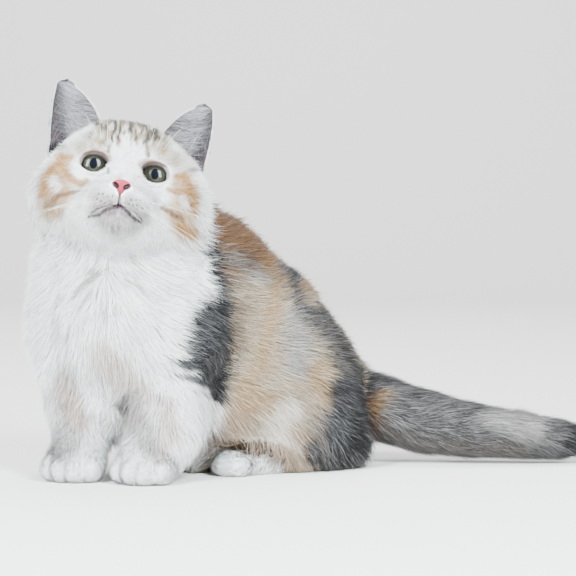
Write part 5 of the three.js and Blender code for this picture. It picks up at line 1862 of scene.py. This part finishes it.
def build_ear_hair(side, name):
    """Long pale hairs that rise from the inner edge and turn across the cup, grey ones between them and
    at the tip, a white fringe round the rim, short fur behind, and small dark tufts at the outer foot."""
    rng = np.random.default_rng(40 + side)
    pale = tone(98, 96, 101)
    bright = tone(140, 138, 143)
    white = tone(196, 197, 202)
    dim = tone(57, 52, 55)
    deep = tone(40, 38, 41)
    # How many; where they start, across and up; how far they turn, across and up; how high they rise;
    # their width and colour; and whether they grow on the back
    rows = (
        (420, (0.3, 0.95), (0.2, 1.4), 0.1, 0.2, 0.9, 0.26, dim),
        (380, (0.25, 0.9), (0.7, 1.75), 0.08, 0.2, 0.8, 0.3, deep),
        (420, (0.0, 0.35), (0.0, 1.05), 0.9, 0.34, 3.4, 0.26, pale),
        (260, (0.0, 0.2), (0.0, 1.05), 0.8, 0.34, 3.8, 0.24, bright),
        (220, (0.8, 1.0), (0.0, 1.1), -0.4, 0.3, 1.6, 0.22, dim),
        (380, (0.1, 0.6), (0.0, 0.95), 0.34, 0.3, 2.6, 0.24, dim),
        (240, (0.1, 0.6), (0.0, 0.9), 0.34, 0.3, 2.8, 0.24, pale),
        (120, (0.1, 0.6), (0.0, 0.22), 0.25, 0.4, 4.2, 0.28, bright),
        (200, (0.0, 0.4), (0.7, 1.5), 0.3, 0.2, 1.4, 0.26, pale),
        (160, (0.7, 0.97), (0.05, 0.9), -0.12, 0.14, 1.0, 0.24, pale),
        (1100, (0.0, 0.03), (0.0, 1.8), -0.04, 0.1, 0.7, 0.36, white),
        (1100, (0.97, 1.0), (0.0, 1.8), 0.04, 0.1, 0.7, 0.36, white),
        (240, (0.05, 0.95), (1.7, 1.95), 0.0, 0.1, 0.7, 0.3, pale),
        (3800, (0.0, 1.0), (0.0, 1.9), 0.0, 0.13, 1.5, 0.4, tone(76, 66, 57), True),
        (160, (0.86, 0.99), (0.02, 0.12), 0.02, 0.1, 1.6, 0.4, tone(28, 27, 28)),
    )
    groups = [ear_hairs(side, rng, *row) for row in rows]
    parts = [blades(*group, rng, 0.5) for group in groups]
    points, faces = gathered([(part.points, part.faces) for part in parts])
    kept = [np.concatenate([getattr(part, key) for part in parts]) for key in ("normals", "colours", "uvs")]
    made = make_mesh("coat_ear_" + name, points, faces, *kept)
    dress(made, STORE.short_hair)


# How far from the camera a line of sight starts, short of the cat
SIGHT_START = 1200.0


def on_skin(pixels, lift):
    """Where lines of sight through pixels of the photograph come within lift of the skin: 60 steps, each
    0.8 of the gap that is left."""
    pixels = np.array(pixels, float)
    across = (pixels[:, 0] - PICTURE / 2) / FOCAL
    rise = (PICTURE / 2 - pixels[:, 1]) / FOCAL
    sight = SIGHT_AHEAD + across[:, None] * SIGHT_RIGHT + rise[:, None] * SIGHT_UP
    near = np.full(len(pixels), SIGHT_START)
    for _ in range(60):
        gap = skin_field(CAMERA + sight * near[:, None]) - lift
        near = near + gap * 0.8
    return CAMERA + sight * near[:, None]


# The roots of the whiskers on each pad, in the photograph's pixels
RIGHT_PAD = (
    (98.5, 193.5), (103, 194), (107.5, 196), (112.5, 196),
    (101, 201), (105, 203), (110, 203), (97, 199),
)
LEFT_PAD = (
    (126, 198), (131, 200), (136, 200), (140.5, 200),
    (133, 205), (137, 205.5), (142, 208), (129, 204),
)
# Radius of a whisker's dark root; lengths of whiskers and of brow hairs; radii at root and tip
DOT = 0.5
WHISKER_LONG = (30, 58)
BROW_HAIR_LONG = (20, 30)
WHISKER_ROOT = 0.085
WHISKER_TIP = 0.012
WHISKER_SIDES = 5


def build_dots():
    """The dark root of each whisker: a low round grain that stands out of the short hair."""
    place = Place((0, 0, 0), *HEAD.axes)
    grain = ball_points(place, lambda a: np.full_like(a, DOT), *DOT_GRID)
    parts = [(grain + at, ball_faces(*DOT_GRID)) for at in on_skin(RIGHT_PAD + LEFT_PAD, 0.55)]
    made = make_mesh("whisker_roots", *gathered(parts))
    face_outwards(made)
    dress(made, STORE.dot_material)


def build_whiskers():
    """Whiskers and brow hairs: thin tapering bars, each a curve p + l (d t + g t²) with l its length."""
    rng = np.random.default_rng(5)
    starts, ways, longs = [], [], []
    for side, pad in ((-1, RIGHT_PAD), (1, LEFT_PAD)):
        for k, at in enumerate(on_skin(pad[::2] + pad[5:6], 0.4)):
            starts.append(at)
            ways.append((-0.18 - 0.08 * k, side, -0.2 + rng.normal(0, 0.16)))
            longs.append(rng.uniform(*WHISKER_LONG))
        for k in range(3):
            brow = HEAD.out((0, side * (13 + 4 * k), 15 + 0.5 * k))
            starts.append(on_skin(in_picture(brow[None]), 0.4)[0])
            ways.append((0.12 - 0.1 * k, side * (0.05 + 0.16 * k), 1.0))
            longs.append(rng.uniform(*BROW_HAIR_LONG))
    ways = unit(HEAD.way(unit(np.array(ways)) + rng.normal(0, 0.05, (len(ways), 3))))
    t = np.linspace(0, 1, 14)
    sag = np.array((0, 0, -0.13))
    parts = []
    for start, way, long in zip(starts, ways, longs):
        path = start - way * SUNK + way * (long * t)[:, None] + sag * (long * t**2)[:, None]
        parts.append(tube(path, WHISKER_ROOT * (1 - t) ** 0.7 + WHISKER_TIP, WHISKER_SIDES))
    made = make_mesh("whiskers", *gathered(parts))
    face_outwards(made)
    dress(made, STORE.whisker_material)


# The paper of the floor in millimetres: how far it lies to the front and stands behind, where it starts
# to sweep up and with what radius, its top and half its width
FLOOR_REACH = 4000.0
SWEEP_FOOT = 2600
SWEEP_RADIUS = 1400
PAPER_TOP = 4200.0
PAPER_HALF = 6000.0
# The lights: place and aim in metres, width and height, and colour
CAT_MIDDLE = (-0.1, -0.05, 0.15)
PAPER_MIDDLE = (0, 3.4, 0.6)
COOL = (0.9, 0.98, 1.0)
PLAIN = (1, 1, 1)
LIGHTS = (
    ("key", (-0.96, -1.32, 0.95), CAT_MIDDLE, (0.45, 1.2), COOL),
    ("fill", (0.72, -1.32, 0.95), CAT_MIDDLE, (0.45, 1.2), COOL),
    ("top", (0.1, 0.3, 1.75), CAT_MIDDLE, (1.4, 1.0), PLAIN),
    ("backdrop", (0.0, 1.2, 2.6), PAPER_MIDDLE, (3.0, 1.6), PLAIN),
)


def build_stage(settings):
    """A pale floor that sweeps up behind, a soft room, a tall light either side of the viewer, one above
    and one for the backdrop."""
    profile = [(-FLOOR_REACH, 0.0)]
    for a in np.linspace(0, np.pi / 2, 40):
        profile.append((SWEEP_FOOT + SWEEP_RADIUS * math.sin(a), SWEEP_RADIUS - SWEEP_RADIUS * math.cos(a)))
    profile.append((FLOOR_REACH, PAPER_TOP))
    points = np.array([(x, y, z) for y, z in profile for x in (-PAPER_HALF, PAPER_HALF)])
    sweep = make_mesh("floor", points - MOVED * 1000, grid_faces(len(profile), 2, False))
    sweep.data.materials.append(plain_material("floor_paper", settings.floor, settings.floor, 0.8, 3))
    world = bpy.data.worlds.new("studio")
    world.use_nodes = True
    sky = world.node_tree.nodes["Background"].inputs
    sky["Color"].default_value = (*settings.sky, 1)
    sky["Strength"].default_value = settings.sky_strength
    bpy.context.scene.world = world
    for name, at, aim, size, colour in LIGHTS:
        light = bpy.data.lights.new(name + "_light", "AREA")
        light.shape = "RECTANGLE"
        light.size, light.size_y = size
        light.energy = getattr(settings, name + "_power")
        light.color = colour
        lamp = linked(name + "_light", light)
        lamp.location = at
        lamp.rotation_euler = Vector(np.array(aim) - at).to_track_quat("-Z", "Y").to_euler()


def build_camera():
    """The photograph's view: 1.3 m away, 170 mm up and looking down by 2.1 degrees."""
    camera = bpy.data.cameras.new("camera")
    camera.sensor_width = 36
    camera.lens = camera.sensor_width * FOCAL / PICTURE
    view = linked("camera", camera)
    view.location = Vector(metres(CAMERA))
    view.rotation_euler = (math.pi / 2 - CAMERA_PITCH, 0, 0)
    bpy.context.scene.camera = view


# Settings that a user would change


def colour_property(name, description, default):
    """A colour that a user may change."""
    return bpy.props.FloatVectorProperty(
        name=name, description=description, subtype="COLOR", size=3, min=0, max=1, default=tuple(default)
    )


def power_property(name, where, default):
    """The power of a light, in watts."""
    return bpy.props.FloatProperty(
        name=name, description="Power of the light " + where, default=default, min=0, unit="POWER"
    )


class CatSettings(bpy.types.PropertyGroup):
    """What a user would change about the cat."""

    density: bpy.props.FloatProperty(
        name="Coat density", description="Share of the full number of hairs", default=1.0, min=0.05, max=1.0
    )
    iris_dark: colour_property("Iris shadow", "Deep threads of the iris", tone(30, 30, 25))
    iris_mid: colour_property("Iris", "Bright threads of the iris", tone(55, 55, 46))
    iris_light: colour_property("Iris glow", "The iris beside the pupil", tone(68, 68, 56))
    iris_rim: colour_property("Iris rim", "The dark edge of the iris", tone(13, 11, 9))
    nose: colour_property("Nose", "The nose leather", tone(150, 62, 72))
    nose_deep: colour_property("Nose folds", "The nose leather between its pebbles", tone(128, 44, 54))
    lids: colour_property("Lid edge", "The bare edge of the lids", tone(22, 14, 12))


class StageSettings(bpy.types.PropertyGroup):
    """What a user would change about the studio."""

    floor: colour_property("Floor", "The paper that the cat sits on", (0.8, 0.785, 0.77))
    sky: colour_property("Room", "The light of the room", (0.92, 0.96, 1.0))
    sky_strength: bpy.props.FloatProperty(
        name="Room strength", description="How bright the room is", default=0.5, min=0
    )
    key_power: power_property("Key light", "at the left", 116)
    fill_power: power_property("Fill light", "at the right", 114)
    top_power: power_property("Top light", "above", 24)
    backdrop_power: power_property("Backdrop light", "on the paper behind", 150)


class CAT_OT_skin(bpy.types.Operator):
    """Make the skin of the whole body"""

    bl_idname = "cat.skin"
    bl_label = "Skin"

    def execute(self, context):
        build_skin()
        return {"FINISHED"}


class CAT_OT_coat(bpy.types.Operator):
    """Grow the coat over the skin"""

    bl_idname = "cat.coat"
    bl_label = "Coat"

    def execute(self, context):
        STORE.density = context.scene.cat_settings.density
        build_coat()
        return {"FINISHED"}


class CAT_OT_eyes(bpy.types.Operator):
    """Make both eyes and the edges of their lids"""

    bl_idname = "cat.eyes"
    bl_label = "Eyes"

    def execute(self, context):
        settings = context.scene.cat_settings
        STORE.eye = (settings.iris_dark, settings.iris_mid, settings.iris_light, settings.iris_rim)
        dark = np.array(settings.lids)
        STORE.rim_material = plain_material("lid_edge", dark, dark * 0.6, 0.35, 900)
        for side in (1, -1):
            build_eye(side)
            build_lid_rim(side)
        return {"FINISHED"}


class CAT_OT_nose(bpy.types.Operator):
    """Make the nose leather with its nostrils"""

    bl_idname = "cat.nose"
    bl_label = "Nose"

    def execute(self, context):
        settings = context.scene.cat_settings
        STORE.nose = (settings.nose, settings.nose_deep)
        build_nose()
        return {"FINISHED"}


class CAT_OT_ears(bpy.types.Operator):
    """Make both ears with their hair"""

    bl_idname = "cat.ears"
    bl_label = "Ears"

    def execute(self, context):
        STORE.short_hair = fur_material("ear_hair", 0.6, 700)
        for side in (1, -1):
            build_ear(side)
        return {"FINISHED"}


class CAT_OT_whiskers(bpy.types.Operator):
    """Make the whiskers, their dark roots and the brow hairs"""

    bl_idname = "cat.whiskers"
    bl_label = "Whiskers"

    def execute(self, context):
        pale = (tone(245, 243, 238), tone(232, 228, 220))
        dark = (tone(38, 36, 40), tone(54, 50, 55))
        STORE.whisker_material = plain_material("whisker", *pale, 0.35, 300)
        STORE.dot_material = plain_material("whisker_root", *dark, 0.6, 300)
        build_whiskers()
        build_dots()
        return {"FINISHED"}


class CAT_OT_stage(bpy.types.Operator):
    """Set the floor, the lights and the camera"""

    bl_idname = "cat.stage"
    bl_label = "Stage"

    def execute(self, context):
        build_stage(context.scene.cat_stage)
        build_camera()
        return {"FINISHED"}


class CAT_PT_panel(bpy.types.Panel):
    """The cat's pieces and settings"""

    bl_label = "Munchkin cat"
    bl_idname = "CAT_PT_panel"
    bl_space_type = "VIEW_3D"
    bl_region_type = "UI"
    bl_category = "Cat"

    def draw(self, context):
        for group in (context.scene.cat_settings, context.scene.cat_stage):
            for name in group.__annotations__:
                self.layout.prop(group, name)
        for operator in OPERATORS:
            self.layout.operator(operator.bl_idname)


OPERATORS = (
    CAT_OT_stage,
    CAT_OT_skin,
    CAT_OT_coat,
    CAT_OT_eyes,
    CAT_OT_nose,
    CAT_OT_ears,
    CAT_OT_whiskers,
)
CLASSES = (CatSettings, StageSettings, *OPERATORS, CAT_PT_panel)


def register():
    for cls in CLASSES:
        bpy.utils.register_class(cls)
    bpy.types.Scene.cat_settings = bpy.props.PointerProperty(type=CatSettings)
    bpy.types.Scene.cat_stage = bpy.props.PointerProperty(type=StageSettings)


def unregister():
    del bpy.types.Scene.cat_stage
    del bpy.types.Scene.cat_settings
    for cls in reversed(CLASSES):
        bpy.utils.unregister_class(cls)


def main():
    register()
    for operator in OPERATORS:
        group, name = operator.bl_idname.split(".")
        getattr(getattr(bpy.ops, group), name)()


if __name__ == "__main__":
    main()
